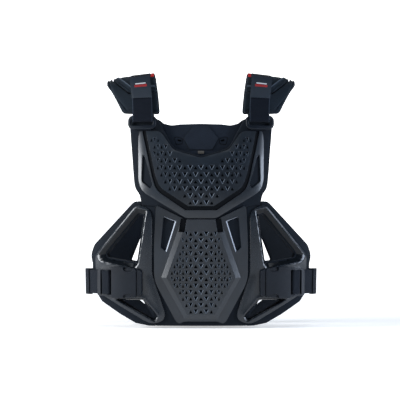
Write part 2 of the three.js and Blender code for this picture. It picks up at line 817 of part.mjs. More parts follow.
const backWindows = [
  {
    outer: [
      { out: 0.215, down: 0.18 },
      { out: 0.1, down: 0.19 },
      { out: 0.16, down: 0.52 },
      { out: 0.47, down: 0.5 },
    ],
    inner: [
      { out: 0.2, down: 0.21 },
      { out: 0.125, down: 0.215 },
      { out: 0.18, down: 0.505 },
      { out: 0.43, down: 0.485 },
    ],
  },
  {
    outer: [
      { out: 0.5, down: 0.76 },
      { out: 0.1, down: 0.76 },
      { out: 0.02, down: 0.85 },
      { out: 0.11, down: 0.92 },
    ],
    inner: [
      { out: 0.46, down: 0.77 },
      { out: 0.12, down: 0.77 },
      { out: 0.05, down: 0.85 },
      { out: 0.11, down: 0.9 },
    ],
  },
];

function onWing(rows) {
  return rows.map(({ out, down, round = 0 }) => [
    wingInner + out * wingSpan,
    wingTop - down * wingHeight,
    round,
  ]);
}

function wingShell(windows) {
  const cuts = windows.flatMap(({ outer, inner }) => [
    tapered(onWing(inner), -shellThickness * 0.8, onWing(outer), 0.01),
    prism(onWing(inner), -shellThickness - 1, 1),
  ]);
  return carved(prism(rounded(onWing(wingRows)), -shellThickness, 0), ...cuts);
}

function wingFoam(windows) {
  const inner = foamWaist + seamGap;
  const chestCorner = foamHalfWidth * 0.833;
  const outline = rounded([
    ...onWing(wingFoamRows),
    [chestCorner + seamGap, wingTop - fitGap * 2],
    [inner, wingTop - fitGap * 2 - seamGap * 2],
    [inner, foamBottom],
    ...onWing(wingFoamLowerRows),
  ], softSteps);
  const cuts = windows.map((window) => {
    const opening = onWing(window.inner).map(([x, y]) => [Math.max(x, inner + 6), y]);
    return prism(opening, foamIn - 1, foamOut + 1);
  });
  return carved(prism(outline, foamIn, foamOut), ...cuts);
}

for (const { side, label } of sides) {
  const onChestSide = onTorso(side, true);
  const onBackSide = onTorso(side, false);
  addPart(front, `wing_shell_${label}`, "shell", laid(wingShell(frontWindows), onChestSide));
  addPart(front, `wing_foam_${label}`, "foam", laid(wingFoam(frontWindows), onChestSide));
  addPart(back, `back_wing_shell_${label}`, "shell", laid(wingShell(backWindows), onBackSide));
  addPart(back, `back_wing_foam_${label}`, "foam", laid(wingFoam(backWindows), onBackSide));
}

// Back foam and back shell
const backFoamRows = [
  { across: 0, down: 0.204 },
  { across: 0.3, down: 0.184, round: 10 },
  { across: 0.62, down: 0, round: 10 },
  { across: 0.94, down: 0, round: 12 },
  { across: 1, down: 0.082, round: 10 },
  { across: 0.94, down: 0.674, round: 14 },
  { across: 0.84, down: 0.817, round: 6 },
];
const backShellRows = [
  { across: 0, down: 0.03 },
  { across: 0.32, down: 0, round: 10 },
  { across: 0.92, down: 0, round: 12 },
  { across: 1, down: 0.06, round: 10 },
  { across: 0.96, down: 0.29, round: 12 },
  { across: 0.84, down: 0.37, round: 12 },
  { across: 0.66, down: 0.56, round: 16 },
  { across: 0.6, down: 0.94, round: 10 },
  { across: 0.5, down: 1, round: 8 },
  { across: 0, down: 1 },
];
const spineOuterRows = [
  { across: 0, down: 0.06 },
  { across: 0.3, down: 0.06 },
  { across: 0.42, down: 0.36 },
  { across: 0.3, down: 0.95 },
  { across: 0, down: 0.95 },
];
const spineInnerRows = [
  { across: 0, down: 0.08 },
  { across: 0.22, down: 0.08 },
  { across: 0.32, down: 0.36 },
  { across: 0.22, down: 0.93 },
  { across: 0, down: 0.93 },
];
const backShellTop = foamTop - backShellInset;

function backFoam() {
  const upper = atShares(backFoamRows, foamHalfWidth, foamTop, chestReach);
  const waistTop = wingTop - fitGap * 2;
  const outline = rounded(mirrored([
    ...upper,
    [foamHalfWidth * 0.833, waistTop],
    [foamWaist, waistTop - seamGap],
    [foamWaist, foamBottom],
    [0, foamBottom],
  ]), softSteps);
  return laid(prism(outline, foamIn, foamOut), onBack);
}
addPart(back, "back_foam", "foam", backFoam());

function backShell() {
  const onShell = (rows) => atShares(rows, backShellHalfWidth, backShellTop, backShellHeight);
  const spine = tapered(
    mirrored(onShell(spineOuterRows)), -0.5, mirrored(onShell(spineInnerRows)), boxRise,
  );
  const plate = prism(rounded(mirrored(onShell(backShellRows))), -shellThickness, 0);
  return laid(joined(plate, spine), onBack);
}
addPart(back, "back_shell", "shell", backShell());

// Shoulders. The pads arch over the crown, seen from the side as a half ellipse.
const strapLevel = foamTop - loop.drop;
const padsThickness = basePadThickness + fitGap + topPadThickness;
const archReach = (toFront) =>
  faceDepth(strapPlace, foamTop, toFront) + foamOut - padsThickness + 1;
const arches = {
  front: { curve: new THREE.EllipseCurve(0, -shoulderRise, archReach(true), shoulderRise,
    Math.PI / 2, Math.PI, false), reach: archReach(true) },
  back: { curve: new THREE.EllipseCurve(0, -shoulderRise, archReach(false), shoulderRise,
    Math.PI / 2, 0, true), reach: archReach(false) },
};

// A point over the shoulder: along is measured from the crown, backwards positive, on the pads' underside.
function overShoulder(along, out) {
  const { curve, reach } = along < 0 ? arches.front : arches.back;
  const share = Math.abs(along) / curve.getLength();
  const point = curve.getPointAt(Math.min(share, 1));
  const normal = new THREE.Vector2(
    point.x / reach ** 2, (point.y + shoulderRise) / shoulderRise ** 2,
  ).normalize();
  const beyond = Math.max(share - 1, 0) * curve.getLength();
  return [point.x + normal.x * out, point.y + normal.y * out - beyond];
}

// Tilts a point of the shoulder's side view with the slope of the crown and the turn of the torso.
function settle(side, across, y, z) {
  const loopTop = strapLevel + loop.high / 2;
  const crown = Math.min(Math.max((z - loopTop) / -loopTop, 0), 1) ** 2;
  const toFront = y < 0;
  const level = Math.min(z, foamTop);
  const turn =
    faceDepth(strapPlace + across, level, toFront) - faceDepth(strapPlace, level, toFront);
  return [
    side * (strapPlace + across + crownLean * crown),
    y + (toFront ? -1 : 1) * turn * (1 - crown),
    z - shoulderSlope * across * crown,
  ];
}
const onShoulder = (side) => ({
  place: ([across, along, out]) => settle(side, across, ...overShoulder(along, out)),
  bends: [[0, 30], range(basePad.front, basePad.back, 12)],
});
const inProfile = (side) => ({
  place: ([y, z, across]) => settle(side, across, y, z),
  bends: [[], []],
});

// Pad outlines: across from the middle of the strap, along from the crown with the front negative.
const basePad = { inner: -33, front: -105, back: 94, outer: 71 };
const topPad = { inner: -32, front: -62, back: 64, outer: 68 };

function padOutline({ inner, front, back, outer }, waist) {
  return rounded([
    [inner, front, 6],
    [inner + (outer - inner) * waist, front, 10],
    [inner + (outer - inner) * (waist * 0.5 + 0.5), front * 0.69, 20],
    [outer, front * 0.24, 10],
    [outer, back * 0.2, 12],
    [inner + (outer - inner) * waist, back, 10],
    [inner, back, 6],
  ], softSteps);
}

// Side view of a strap: a line of points given a thickness.
function thickened(line, thickness) {
  const offset = (amount) =>
    line.map(([x, y], i) => {
      const [x1, y1] = line[Math.max(i - 1, 0)];
      const [x2, y2] = line[Math.min(i + 1, line.length - 1)];
      const length = Math.hypot(x2 - x1, y2 - y1);
      return [x - ((y2 - y1) / length) * amount, y + ((x2 - x1) / length) * amount];
    });
  return [...offset(thickness / 2), ...offset(-thickness / 2).reverse()];
}

function range(start, end, count) {
  return Array.from({ length: count }, (_, i) => start + ((end - start) * i) / (count - 1));
}

// The strap's side view: sewn on the back foam, over the pads, through the loop and back up itself.
const rearLayer = padsThickness + fitGap + strapThickness / 2;
const frontLayer = rearLayer + strapThickness + fitGap;
const barMiddle = strapLevel + loop.high / 2 - loop.rail / 2;
const barOut = loop.thick / 2 + fitGap;
const strapHang = shoulderRise; // along the arch, the strap's last points before the loop and the back foam

function strapLine() {
  const facePoint = (up, out, toFront) =>
    onTorso(1, toFront).place([strapPlace, up, out]).slice(1);
  const sewn = [52, 28, 2].map((below) =>
    facePoint(foamTop - below, foamOut + fitGap + strapThickness / 2, false));
  const rear = range(strapHang - 2, 2 - strapHang, 17).map((along) => overShoulder(along, rearLayer));
  const away = 2 * fitGap + strapThickness / 2;
  const turn = range(0, Math.PI, 7).map((angle) => facePoint(
    barMiddle - (loop.rail / 2 + away * 2) * Math.sin(angle),
    barOut + fitGap / 2 - (loop.thick / 2 + away) * Math.cos(angle),
    true,
  ));
  const lift = facePoint(barMiddle + loop.rail / 2, barOut + loop.thick / 2 + away, true);
  const front = range(-strapHang, -tabForward, 8).map((along) => overShoulder(along, frontLayer));
  return [...sewn, ...rear, ...turn, lift, ...front];
}

function shoulderStrap(side) {
  const half = strapWidth / 2;
  return laid(prism(thickened(strapLine(), strapThickness), -half, half), inProfile(side));
}

function shoulderTab(side) {
  const out = frontLayer + strapThickness / 2 + fitGap + tabThickness / 2;
  const line = range(-tabForward - tabLength, 1 - tabForward, 8).map((along) => overShoulder(along, out));
  const half = strapWidth / 2 + 0.5;
  return laid(prism(thickened(line, tabThickness), -half, half), inProfile(side));
}

function redPull(side) {
  const { wide, long, thick, forward } = redTab;
  const inner = -strapWidth / 2 - wide - fitGap;
  const [front, back] = [-forward - long / 2, long / 2 - forward];
  const outline = [[inner, front], [inner + wide, front], [inner + wide, back], [inner, back]];
  const low = padsThickness + fitGap;
  return laid(prism(outline, low, low + thick), onShoulder(side));
}

// The loop: a stadium with a stadium hole, on a foot that is fixed to the foam under its lower bar.
function shoulderLoop(side) {
  const { wide, high, bar, rail, thick } = loop;
  const stadium = (width, height, ends) => {
    const [x, z] = [width / 2, height / 2];
    const corners = [[-x, -z], [x, -z], [x, z], [-x, z]];
    return rounded(corners.map(([cx, cz]) => [strapPlace + cx, strapLevel + cz, z * ends]), 4);
  };
  const ring = carved(
    prism(stadium(wide, high, 0.95), fitGap, thick + fitGap),
    prism(stadium(wide - 2 * bar, high - 2 * rail, 0.6), -1, thick + 2),
  );
  const footTop = strapLevel - high / 2 + rail;
  const foot = [[-0.36, 0], [0.36, 0], [0.3, -rail], [-0.3, -rail]].map(([share, rise]) => [
    strapPlace + share * wide, footTop + rise,
  ]);
  return laid(joined(ring, prism(foot, foamOut + fitGap, fitGap + 1)), onTorso(side, true));
}

for (const { side, label } of sides) {
  const base = prism(padOutline(basePad, 0.72), 0, basePadThickness);
  const top = basePadThickness + fitGap;
  const upper = prism(padOutline(topPad, 0.6), top, top + topPadThickness);
  addPart(shoulders, `shoulder_pad_base_${label}`, "foam", laid(base, onShoulder(side)));
  addPart(shoulders, `shoulder_pad_top_${label}`, "foam", laid(upper, onShoulder(side)));
  addPart(shoulders, `shoulder_strap_${label}`, "hookAndLoop", shoulderStrap(side));
  addPart(shoulders, `shoulder_tab_${label}`, "tab", shoulderTab(side));
  addPart(shoulders, `red_pull_${label}`, "red", redPull(side));
  addPart(shoulders, `shoulder_loop_${label}`, "hardware", shoulderLoop(side));
}

// Waist strap. Its side view is drawn along the torso's girth at the buckle's height, then laid there.
const girthRows = 240;
function girthPoint(turn, z) {
  const torso = torsoAt(z);
  const depth = turn < Math.PI / 2 ? -torso.front : torso.back;
  const power = 2 / roundness;
  return {
    x: torso.halfWidth * Math.sin(turn) ** power,
    y: depth * Math.abs(Math.cos(turn)) ** power,
    torso,
    depth,
  };
}
const girthTable = [{ turn: 0, along: 0 }];
for (let i = 1; i <= girthRows; i += 1) {
  const turn = (Math.PI * i) / girthRows;
  const last = girthTable.at(-1);
  const [from, to] = [girthPoint(last.turn, buckleMiddle), girthPoint(turn, buckleMiddle)];
  girthTable.push({ turn, along: last.along + Math.hypot(to.x - from.x, to.y - from.y) });
}
function turnAt(along) {
  const next = Math.max(1, girthTable.findIndex((row) => row.along >= along));
  const [low, high] = [girthTable[next - 1], girthTable[next]];
  return low.turn + ((high.turn - low.turn) * (along - low.along)) / (high.along - low.along);
}
function girthAt(x, toFront = true) {
  const share = (x / torsoAt(buckleMiddle).halfWidth) ** (roundness / 2);
  const turn = toFront ? Math.asin(share) : Math.PI - Math.asin(share);
  const next = Math.max(1, girthTable.findIndex((row) => row.turn >= turn));
  const [low, high] = [girthTable[next - 1], girthTable[next]];
  return low.along + ((high.along - low.along) * (turn - low.turn)) / (high.turn - low.turn);
}
const strapBends = range(girthAt(wingInner), girthAt(wingInner, false), 25);
function onGirth(side) {
  const place = ([along, out, up]) => {
    const z = buckleMiddle + up;
    const { x, y, torso, depth } = girthPoint(turnAt(along), z);
    const normal = new THREE.Vector2(
      (x / torso.halfWidth) ** (roundness - 1) / torso.halfWidth,
      (Math.abs(y / depth) ** (roundness - 1) / Math.abs(depth)) * Math.sign(depth),
    ).normalize();
    return [side * (x + normal.x * out), y + normal.y * out, z];
  };
  return { place, bends: [strapBends, []] };
}

// Places along the buckle, counted outwards from the middle plane of the body.
const bodyEnd = socket.inner + socket.body;
const innerSlotEnd = bodyEnd + ladder.slot;
const centreBarEnd = innerSlotEnd + ladder.centreBar;
const outerSlotEnd = centreBarEnd + ladder.slot;
const ladderEnd = outerSlotEnd + ladder.outerBar;
const mainOut = fitGap + webbingThickness / 2;
const tailOut = mainOut + webbingThickness + fitGap;
const overBar = ladder.high + fitGap + webbingThickness / 2;
const keeperStart = girthAt(wingInner + wingSpan) + 12;

// The strap runs in under the ladder, up through its inner slot, over the centre bar, down through the
// outer slot and back over itself to the keeper.
function waistStrap(side) {
  const turnIn = girthAt((bodyEnd + innerSlotEnd) / 2);
  const turnOut = girthAt((centreBarEnd + outerSlotEnd) / 2);
  const sewnEnd = girthAt(wingInner + wingSpan - strapLap, false);
  const corners = [[turnIn, mainOut], [turnIn, overBar], [turnOut, overBar], [turnOut, tailOut]];
  const turns = corners.map((corner) => [...corner, webbingBend]);
  const tailEnd = keeperStart + keeper.long + webbingTail;
  const line = rounded([[sewnEnd, mainOut], ...turns, [tailEnd, tailOut]], 3);
  const half = webbingWidth / 2;
  return laid(prism(thickened(line, webbingThickness), -half, half), onGirth(side));
}

function strapKeeper(side) {
  const { long, wall } = keeper;
  const half = webbingWidth / 2 + fitGap;
  const [low, high] = [mainOut - webbingThickness / 2 - fitGap, tailOut + webbingThickness / 2 + fitGap];
  const box = (grow) => {
    const [start, end] = grow > 0 ? [0, long] : [-2, long + 2];
    const outline = [[keeperStart + start, low - grow], [keeperStart + end, low - grow],
      [keeperStart + end, high + grow], [keeperStart + start, high + grow]];
    return prism(outline, -half - grow, half + grow);
  };
  return laid(carved(box(wall), box(0)), onGirth(side));
}

// The socket: a hollow body with a notch at each edge for the plug's buttons, and a ladder for webbing.
function buckleSocket(side) {
  const { inner, wide, thick, wall, notch: place, notchDepth } = socket;
  const half = wide / 2;
  const z = buckleMiddle;
  const level = (rows) => rows.map(([x, share, r]) => [x, z + share * half, r]);
  const body = prism(rounded(level([
    [inner, -0.86, 4], [inner + 8, -1, 6], [bodyEnd, -1, 2], [bodyEnd, 1, 2],
    [inner + 8, 1, 6], [inner, 0.86, 4],
  ])), fitGap, thick);
  const hollowHalf = half - wall;
  const hollow = prism([[inner - 2, z - hollowHalf], [bodyEnd - wall, z - hollowHalf],
    [bodyEnd - wall, z + hollowHalf], [inner - 2, z + hollowHalf]], fitGap + wall, thick - wall);
  const notch = (up) => {
    const [mouth, floor] = [z + up * (half + 2), z + up * (half - notchDepth)];
    const points = [[-1.12, mouth, 0], [-0.88, floor, 6], [0.88, floor, 6], [1.12, mouth, 0]];
    const outline = points.map(([share, level, r]) => [inner + place + share * notchDepth, level, r]);
    return prism(rounded(outline), 0, thick + 1);
  };
  const frame = prism(rounded(level([
    [bodyEnd - 1, -0.94, 0], [ladderEnd, -0.88, 5], [ladderEnd, 0.88, 5], [bodyEnd - 1, 0.94, 0],
  ])), ladder.low, ladder.high);
  const slotHalf = webbingWidth / 2 + 1;
  const slot = (start, end) =>
    prism([[start, z - slotHalf], [end, z - slotHalf], [end, z + slotHalf], [start, z + slotHalf]],
      ladder.low - 1, ladder.high + 1);
  const solid = carved(
    joined(carved(body, hollow, notch(1), notch(-1)), frame),
    slot(bodyEnd, innerSlotEnd), slot(centreBarEnd, outerSlotEnd),
  );
  return laid(solid, onTorso(side, true));
}

// The plug: a base fixed to the wing shell, a guide and two prongs whose ends show in the notches.
function bucklePlug(side) {
  const { base: long, wide, thick, prong, clear, button, guide: guideWidth } = plug;
  const { wall } = socket;
  const z = buckleMiddle;
  const half = wide / 2;
  const [low, high] = [fitGap, thick + fitGap];
  const mouth = socket.inner - clear;
  const start = mouth - long;
  const base = prism(rounded([[start, z - half * 0.9, 5], [mouth, z - half, 2], [mouth, z + half, 2],
    [start, z + half * 0.9, 5]]), low, high);
  const [armLow, armHigh] = [fitGap + wall + clear, socket.thick - wall - clear];
  const reach = socket.inner + socket.notch;
  const arms = [1, -1].map((up) => {
    const outer = z + up * (socket.wide / 2 - wall - clear * 2);
    const inner = outer - up * prong;
    const arm = [[mouth - wide * 0.04, outer], [reach + button * 0.9, outer], [reach + button * 0.6, inner],
      [mouth - wide * 0.04, inner]];
    const [root, rim] = [outer - up, outer + up * wall];
    const points = [[-0.5, root], [0.5, root], [0.35, rim], [-0.35, rim]];
    const knob = rounded(points.map(([share, level]) => [reach + share * button, level, 3]));
    return joined(prism(arm, armLow, armHigh), prism(knob, armLow, armHigh));
  });
  const [guideStart, guideEnd] = [mouth - wide * 0.04, bodyEnd - wall - guideWidth];
  const guide = prism([[guideStart, z - guideWidth / 2], [guideEnd, z - guideWidth / 2],
    [guideEnd, z + guideWidth / 2], [guideStart, z + guideWidth / 2]], armLow, armHigh);
  return laid(joined(base, guide, ...arms), onTorso(side, true));
}

for (const { side, label } of sides) {
  addPart(waist, `waist_strap_${label}`, "webbing", waistStrap(side));
  addPart(waist, `strap_keeper_${label}`, "webbing", strapKeeper(side));
  addPart(waist, `buckle_socket_${label}`, "hardware", buckleSocket(side));
  addPart(waist, `buckle_plug_${label}`, "hardware", bucklePlug(side));
}

export default guard;
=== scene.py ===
# A roost deflector seen from the front: hard shells on a foam liner, shoulder pads and straps,
# and a webbing strap with a side-release buckle at each side.
# Shapes are given in millimetres: across from the middle plane, up from under the shoulder crowns,
# and out from the outer face of the hard shells. Blender gets them in metres.
import math

import bpy
import numpy as np
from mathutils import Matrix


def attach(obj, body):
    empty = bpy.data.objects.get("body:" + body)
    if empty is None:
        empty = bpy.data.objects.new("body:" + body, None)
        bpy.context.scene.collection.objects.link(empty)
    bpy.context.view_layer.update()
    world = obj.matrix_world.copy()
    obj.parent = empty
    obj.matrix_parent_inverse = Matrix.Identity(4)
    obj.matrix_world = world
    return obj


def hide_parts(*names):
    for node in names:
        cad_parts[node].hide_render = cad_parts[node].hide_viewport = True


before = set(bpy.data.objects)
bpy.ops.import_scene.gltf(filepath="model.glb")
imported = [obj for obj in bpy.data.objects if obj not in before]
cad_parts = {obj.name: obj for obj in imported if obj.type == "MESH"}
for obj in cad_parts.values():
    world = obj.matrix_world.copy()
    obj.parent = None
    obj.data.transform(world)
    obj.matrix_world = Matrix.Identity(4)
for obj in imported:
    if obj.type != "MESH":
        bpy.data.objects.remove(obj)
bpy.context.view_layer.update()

mm = 0.001

# the body that the guard is shaped for
torso = dict(
    foamTop=-73, foamBottom=-515, frontHeight=442, frontDepth=130, backDepth=108,
    foamHalfWidth=152, waistHalfWidth=241.87, roundness=2.3,
    # share down the front, mm beside the foam, share of the way to the waist, depths as shares
    levels=[(-0.1, 66, 0, 0.66, 0.74), (0.0, 63, 0, 0.75, 0.8), (0.1, 52, 0, 0.84, 0.89),
            (0.22, 38, 0, 0.95, 0.97), (0.36, 35, 0.1, 1.0, 1.0), (0.5, 35, 0.6, 0.985, 0.94),
            (0.62, 35, 1, 0.965, 0.9), (0.8, 35, 1, 0.94, 0.9), (1.0, 35, 1, 0.9, 0.93)],
)
layers = dict(shell=3, foam=9, fit=0.8, seam=1.5)
foamOut = -layers['shell'] - layers['fit']
foamIn = foamOut - layers['foam']
foamTop, foamBottom = torso['foamTop'], torso['foamBottom']


# the torso's form


def readCurve(places, values, at):
    # a smooth curve through the rows of a table
    at = np.clip(at, places[0], places[-1])
    high = np.clip(np.searchsorted(places, at), 1, len(places) - 1)
    slopes = np.empty(len(places))
    slopes[1:-1] = (values[2:] - values[:-2]) / (places[2:] - places[:-2])
    slopes[0] = (values[1] - values[0]) / (places[1] - places[0])
    slopes[-1] = (values[-1] - values[-2]) / (places[-1] - places[-2])
    span = places[high] - places[high - 1]
    t = (at - places[high - 1]) / span
    return (values[high - 1] * (1 + 2 * t) * (1 - t) ** 2 + slopes[high - 1] * span * t * (1 - t) ** 2
            + values[high] * t * t * (3 - 2 * t) + slopes[high] * span * t * t * (t - 1))


def torsoAt(up):
    down, beside, waist, front, back = np.array(torso['levels'], dtype=float).T
    chest = torso['foamHalfWidth'] + beside
    halfWidth = chest + (torso['waistHalfWidth'] - chest) * waist
    at = (foamTop - up) / torso['frontHeight']
    return (readCurve(down, halfWidth, at), torso['frontDepth'] * readCurve(down, front, at),
            torso['backDepth'] * readCurve(down, back, at))


def faceDepth(across, up, toFront):
    halfWidth, front, back = torsoAt(up)
    share = np.minimum(np.abs(across) / halfWidth, 0.9995)
    power = torso['roundness']
    return (front if toFront else back) * (1 - share ** power) ** (1 / power)


def onTorso(toFront):
    # lays flat points on the torso, out along the surface's normal
    def place(points):
        across, up, out = points.T
        reach = 0.2
        depth = faceDepth(across, up, toFront)
        slopeX = (faceDepth(across + reach, up, toFront) - depth) / reach
        slopeZ = (faceDepth(across, up + reach, toFront) - depth) / reach
        normal = np.stack([-slopeX, np.ones_like(depth), -slopeZ], axis=1)
        normal /= np.linalg.norm(normal, axis=1)[:, None]
        forward = -1 if toFront else 1
        return np.stack([across + normal[:, 0] * out, forward * (depth + normal[:, 1] * out),
                         up + normal[:, 2] * out], axis=1)
    return place


onFront, onBack = onTorso(True), onTorso(False)


# modelling by hand


def selectOnly(*pieces):
    if bpy.context.object and bpy.context.object.mode != 'OBJECT':
        bpy.ops.object.mode_set(mode='OBJECT')
    bpy.ops.object.select_all(action='DESELECT')
    for piece in pieces:
        piece.select_set(True)
    if pieces:
        bpy.context.view_layer.objects.active = pieces[0]


def editAll(piece):
    selectOnly(piece)
    bpy.ops.object.mode_set(mode='EDIT')
    bpy.ops.mesh.select_mode(type='VERT')
    bpy.ops.mesh.select_all(action='SELECT')


def objectMode():
    bpy.ops.object.mode_set(mode='OBJECT')


def readPoints(piece):
    points = np.empty(len(piece.data.vertices) * 3)
    piece.data.vertices.foreach_get('co', points)
    return points.reshape(-1, 3) / mm


def faceCentres(piece):
    return np.array([face.center[:] for face in piece.data.polygons]).T / mm


def writePoints(piece, points):
    piece.data.vertices.foreach_set('co', (np.asarray(points) * mm).ravel())
    piece.data.update()


def prism(name, outline, low, high, topOutline=None):
    # a filled circle whose rim is moved to the outline, then extruded
    selectOnly()
    bpy.ops.mesh.primitive_circle_add(vertices=len(outline), radius=0.05, fill_type='NGON')
    piece = bpy.context.object
    piece.name = name
    writePoints(piece, [(x, z, low) for x, z in outline])
    editAll(piece)
    bpy.ops.mesh.extrude_region_move(TRANSFORM_OT_translate={'value': (0, 0, (high - low) * mm)})
    objectMode()
    if topOutline is not None:
        points = readPoints(piece)
        rim = np.array(outline)
        for index in np.nonzero(points[:, 2] > (low + high) / 2)[0]:
            nearest = np.argmin(np.hypot(*(rim - points[index, :2]).T))
            points[index, :2] = topOutline[nearest]
        writePoints(piece, points)
    editAll(piece)
    bpy.ops.mesh.normals_make_consistent(inside=False)
    objectMode()
    return piece


def finishWith(piece, kind, **settings):
    # adds a modifier, sets it and applies it
    selectOnly(piece)
    bpy.ops.object.modifier_add(type=kind)
    modifier = piece.modifiers[-1]
    for key, value in settings.items():
        setattr(modifier, key, value)
    bpy.ops.object.modifier_apply(modifier=modifier.name)


def joinUp(pieces):
    selectOnly(*pieces)
    if len(pieces) > 1:
        bpy.ops.object.join()
    return bpy.context.object


def combine(piece, tool, operation='DIFFERENCE'):
    finishWith(piece, 'BOOLEAN', object=tool, operation=operation, solver='EXACT')
    bpy.data.objects.remove(tool, do_unlink=True)


def cut(piece, outline, low, high, topOutline=None):
    combine(piece, prism('cut', outline, low, high, topOutline))


def add(piece, outline, low, high, topOutline=None):
    combine(piece, prism('added', outline, low, high, topOutline), 'UNION')


def softenEdges(piece, width, segments=2, angle=40):
    finishWith(piece, 'BEVEL', width=width * mm, segments=segments, limit_method='ANGLE',
               angle_limit=math.radians(angle), use_clamp_overlap=True, face_strength_mode='FSTR_ALL')


def mapStrap(piece, along, across):
    # ribs and threads follow this map of a strap, in millimetres
    layer = piece.data.uv_layers[0] if piece.data.uv_layers else piece.data.uv_layers.new()
    layer.name = 'strap'
    for loop in piece.data.loops:
        layer.data[loop.index].uv = (along[loop.vertex_index], across[loop.vertex_index])


def slicePiece(piece, acrossStep, upStep):
    # cuts the piece where it will be bent
    points = readPoints(piece)
    for axis, step in ((0, acrossStep), (1, upStep)):
        first, last = points[:, axis].min(), points[:, axis].max()
        editAll(piece)
        for count in range(math.ceil(first / step), math.floor(last / step) + 1):
            bpy.ops.mesh.select_all(action='SELECT')
            place, normal = [0, 0, 0], [0, 0, 0]
            place[axis] = (count * step + 0.013) * mm
            normal[axis] = 1
            bpy.ops.mesh.bisect(plane_co=place, plane_no=normal)
    bpy.ops.mesh.select_all(action='SELECT')
    bpy.ops.mesh.remove_doubles(threshold=0.00002)
    bpy.ops.mesh.quads_convert_to_tris(quad_method='BEAUTY', ngon_method='BEAUTY')
    objectMode()


def bendPiece(piece, place, relief=None):
    points = readPoints(piece)
    if relief is not None:
        points[:, 2] += relief(points[:, 0], points[:, 1])
    writePoints(piece, place(points))


def shadeSmooth(piece, angle=35):
    selectOnly(piece)
    bpy.ops.object.shade_smooth_by_angle(angle=math.radians(angle))


def twinOf(piece, name):
    # the same piece for the other side of the body
    twin = piece.copy()
    twin.data = piece.data.copy()
    twin.name = name
    bpy.context.collection.objects.link(twin)
    editAll(twin)
    bpy.ops.transform.resize(value=(-1, 1, 1), center_override=(0, 0, 0))
    bpy.ops.mesh.flip_normals()
    objectMode()
    return twin


def rounded(points, steps=5):
    # rounds the corners of an outline whose points are across, up and radius
    outline = []
    for i, (x, z, radius) in enumerate(points):
        if radius == 0:
            outline.append((x, z))
            continue
        corner = np.array((x, z))
        ends = []
        for other in (points[i - 1], points[(i + 1) % len(points)]):
            edge = np.array(other[:2]) - corner
            length = np.hypot(*edge)
            ends.append(corner + edge / length * min(radius, length * 0.45))
        for t in np.linspace(0, 1, steps + 1):
            outline.append(tuple((1 - t) ** 2 * ends[0] + 2 * t * (1 - t) * corner + t * t * ends[1]))
    return outline


def withRadius(points):
    return [tuple(point) + (0,) * (3 - len(point)) for point in points]


def bothSides(half):
    half = withRadius(half)
    return half + [(-x, z, r) for x, z, r in reversed(half) if x > 0]


def sharesToPlaces(rows, halfWidth, top, height):
    return [(across * halfWidth, top - down * height, radius)
            for across, down, radius in withRadius(rows)]


def flipped(outline):
    return [(-point[0],) + tuple(point[1:]) for point in outline]


def lineDistance(across, up, line):
    # distance of each point to a line of straight parts
    line = np.array([point[:2] for point in line], dtype=float)
    nearest = np.full(len(across), 1e9)
    for start, end in zip(line[:-1], line[1:]):
        way = end - start
        x, z = across - start[0], up - start[1]
        t = np.clip((x * way[0] + z * way[1]) / max(way @ way, 1e-9), 0, 1)
        nearest = np.minimum(nearest, np.hypot(x - t * way[0], z - t * way[1]))
    return nearest


def edgeDistance(across, up, outline):
    return lineDistance(across, up, list(outline) + [outline[0]])


def wayAlong(line):
    # how far each point of a line lies from its start
    return np.concatenate([[0], np.cumsum(np.hypot(*np.diff(line, axis=0).T))])


def isInside(across, up, outline):
    inside = np.zeros(len(across), dtype=bool)
    ring = [point[:2] for point in outline]
    for (x1, z1), (x2, z2) in zip(ring, ring[-1:] + ring[:-1]):
        if z1 == z2:
            continue
        crosses = (z1 > up) != (z2 > up)
        inside ^= crosses & (across < (x2 - x1) * (up - z1) / (z2 - z1) + x1)
    return inside


# finishes


class Signal:
    # one value on its way through a material, so that sums are written as sums
    def __init__(self, look, socket):
        self.look = look
        self.socket = socket

    def combined(self, operation, other=None):
        return self.look.node('ShaderNodeMath', {'operation': operation}, {0: self, 1: other})[0]

    def __add__(self, other):
        return self.combined('ADD', other)

    def __sub__(self, other):
        return self.combined('SUBTRACT', other)

    def __mul__(self, other):
        return self.combined('MULTIPLY', other)

    def __gt__(self, other):
        return self.combined('GREATER_THAN', other)

    __radd__ = __add__


class Look:
    # a material whose nodes are added one by one
    def __init__(self, name, **fixed):
        self.material = bpy.data.materials.new(name)
        self.material.use_nodes = True
        self.tree = self.material.node_tree
        self.shader = self.tree.nodes['Principled BSDF']
        for socket, value in fixed.items():
            self.shader.inputs[socket.replace('_', ' ')].default_value = value

    def plug(self, target, value):
        if isinstance(value, Signal):
            self.tree.links.new(value.socket, target)
        elif value is not None:
            target.default_value = value

    def node(self, kind, settings=None, sockets=None):
        made = self.tree.nodes.new(kind)
        for key, value in (settings or {}).items():
            setattr(made, key, value)
        for key, value in (sockets or {}).items():
            self.plug(made.inputs[key], value)
        return [Signal(self, output) for output in made.outputs]

    def place(self):
        return self.node('ShaderNodeTexCoord')[3]

    def noise(self, scale, detail=2.0, roughness=0.5, vector=None):
        return self.node('ShaderNodeTexNoise', None, {'Vector': vector or self.place(), 'Scale': scale,
                                                      'Detail': detail, 'Roughness': roughness})[0]

    def mix(self, share, first, second):
        return self.node('ShaderNodeMix', {'data_type': 'RGBA'}, {0: share, 6: first, 7: second})[2]

    def rescale(self, value, low, high, newLow, newHigh):
        return self.node('ShaderNodeMapRange', None, {'Value': value, 'From Min': low, 'From Max': high,
                                                      'To Min': newLow, 'To Max': newHigh})[0]

    def bump(self, height, strength, distance):
        return self.node('ShaderNodeBump', None, {'Height': height, 'Strength': strength,
                                                  'Distance': distance})[0]

    def finish(self, **sockets):
        for socket, value in sockets.items():
            self.plug(self.shader.inputs[socket.replace('_', ' ')], value)
        return self.material


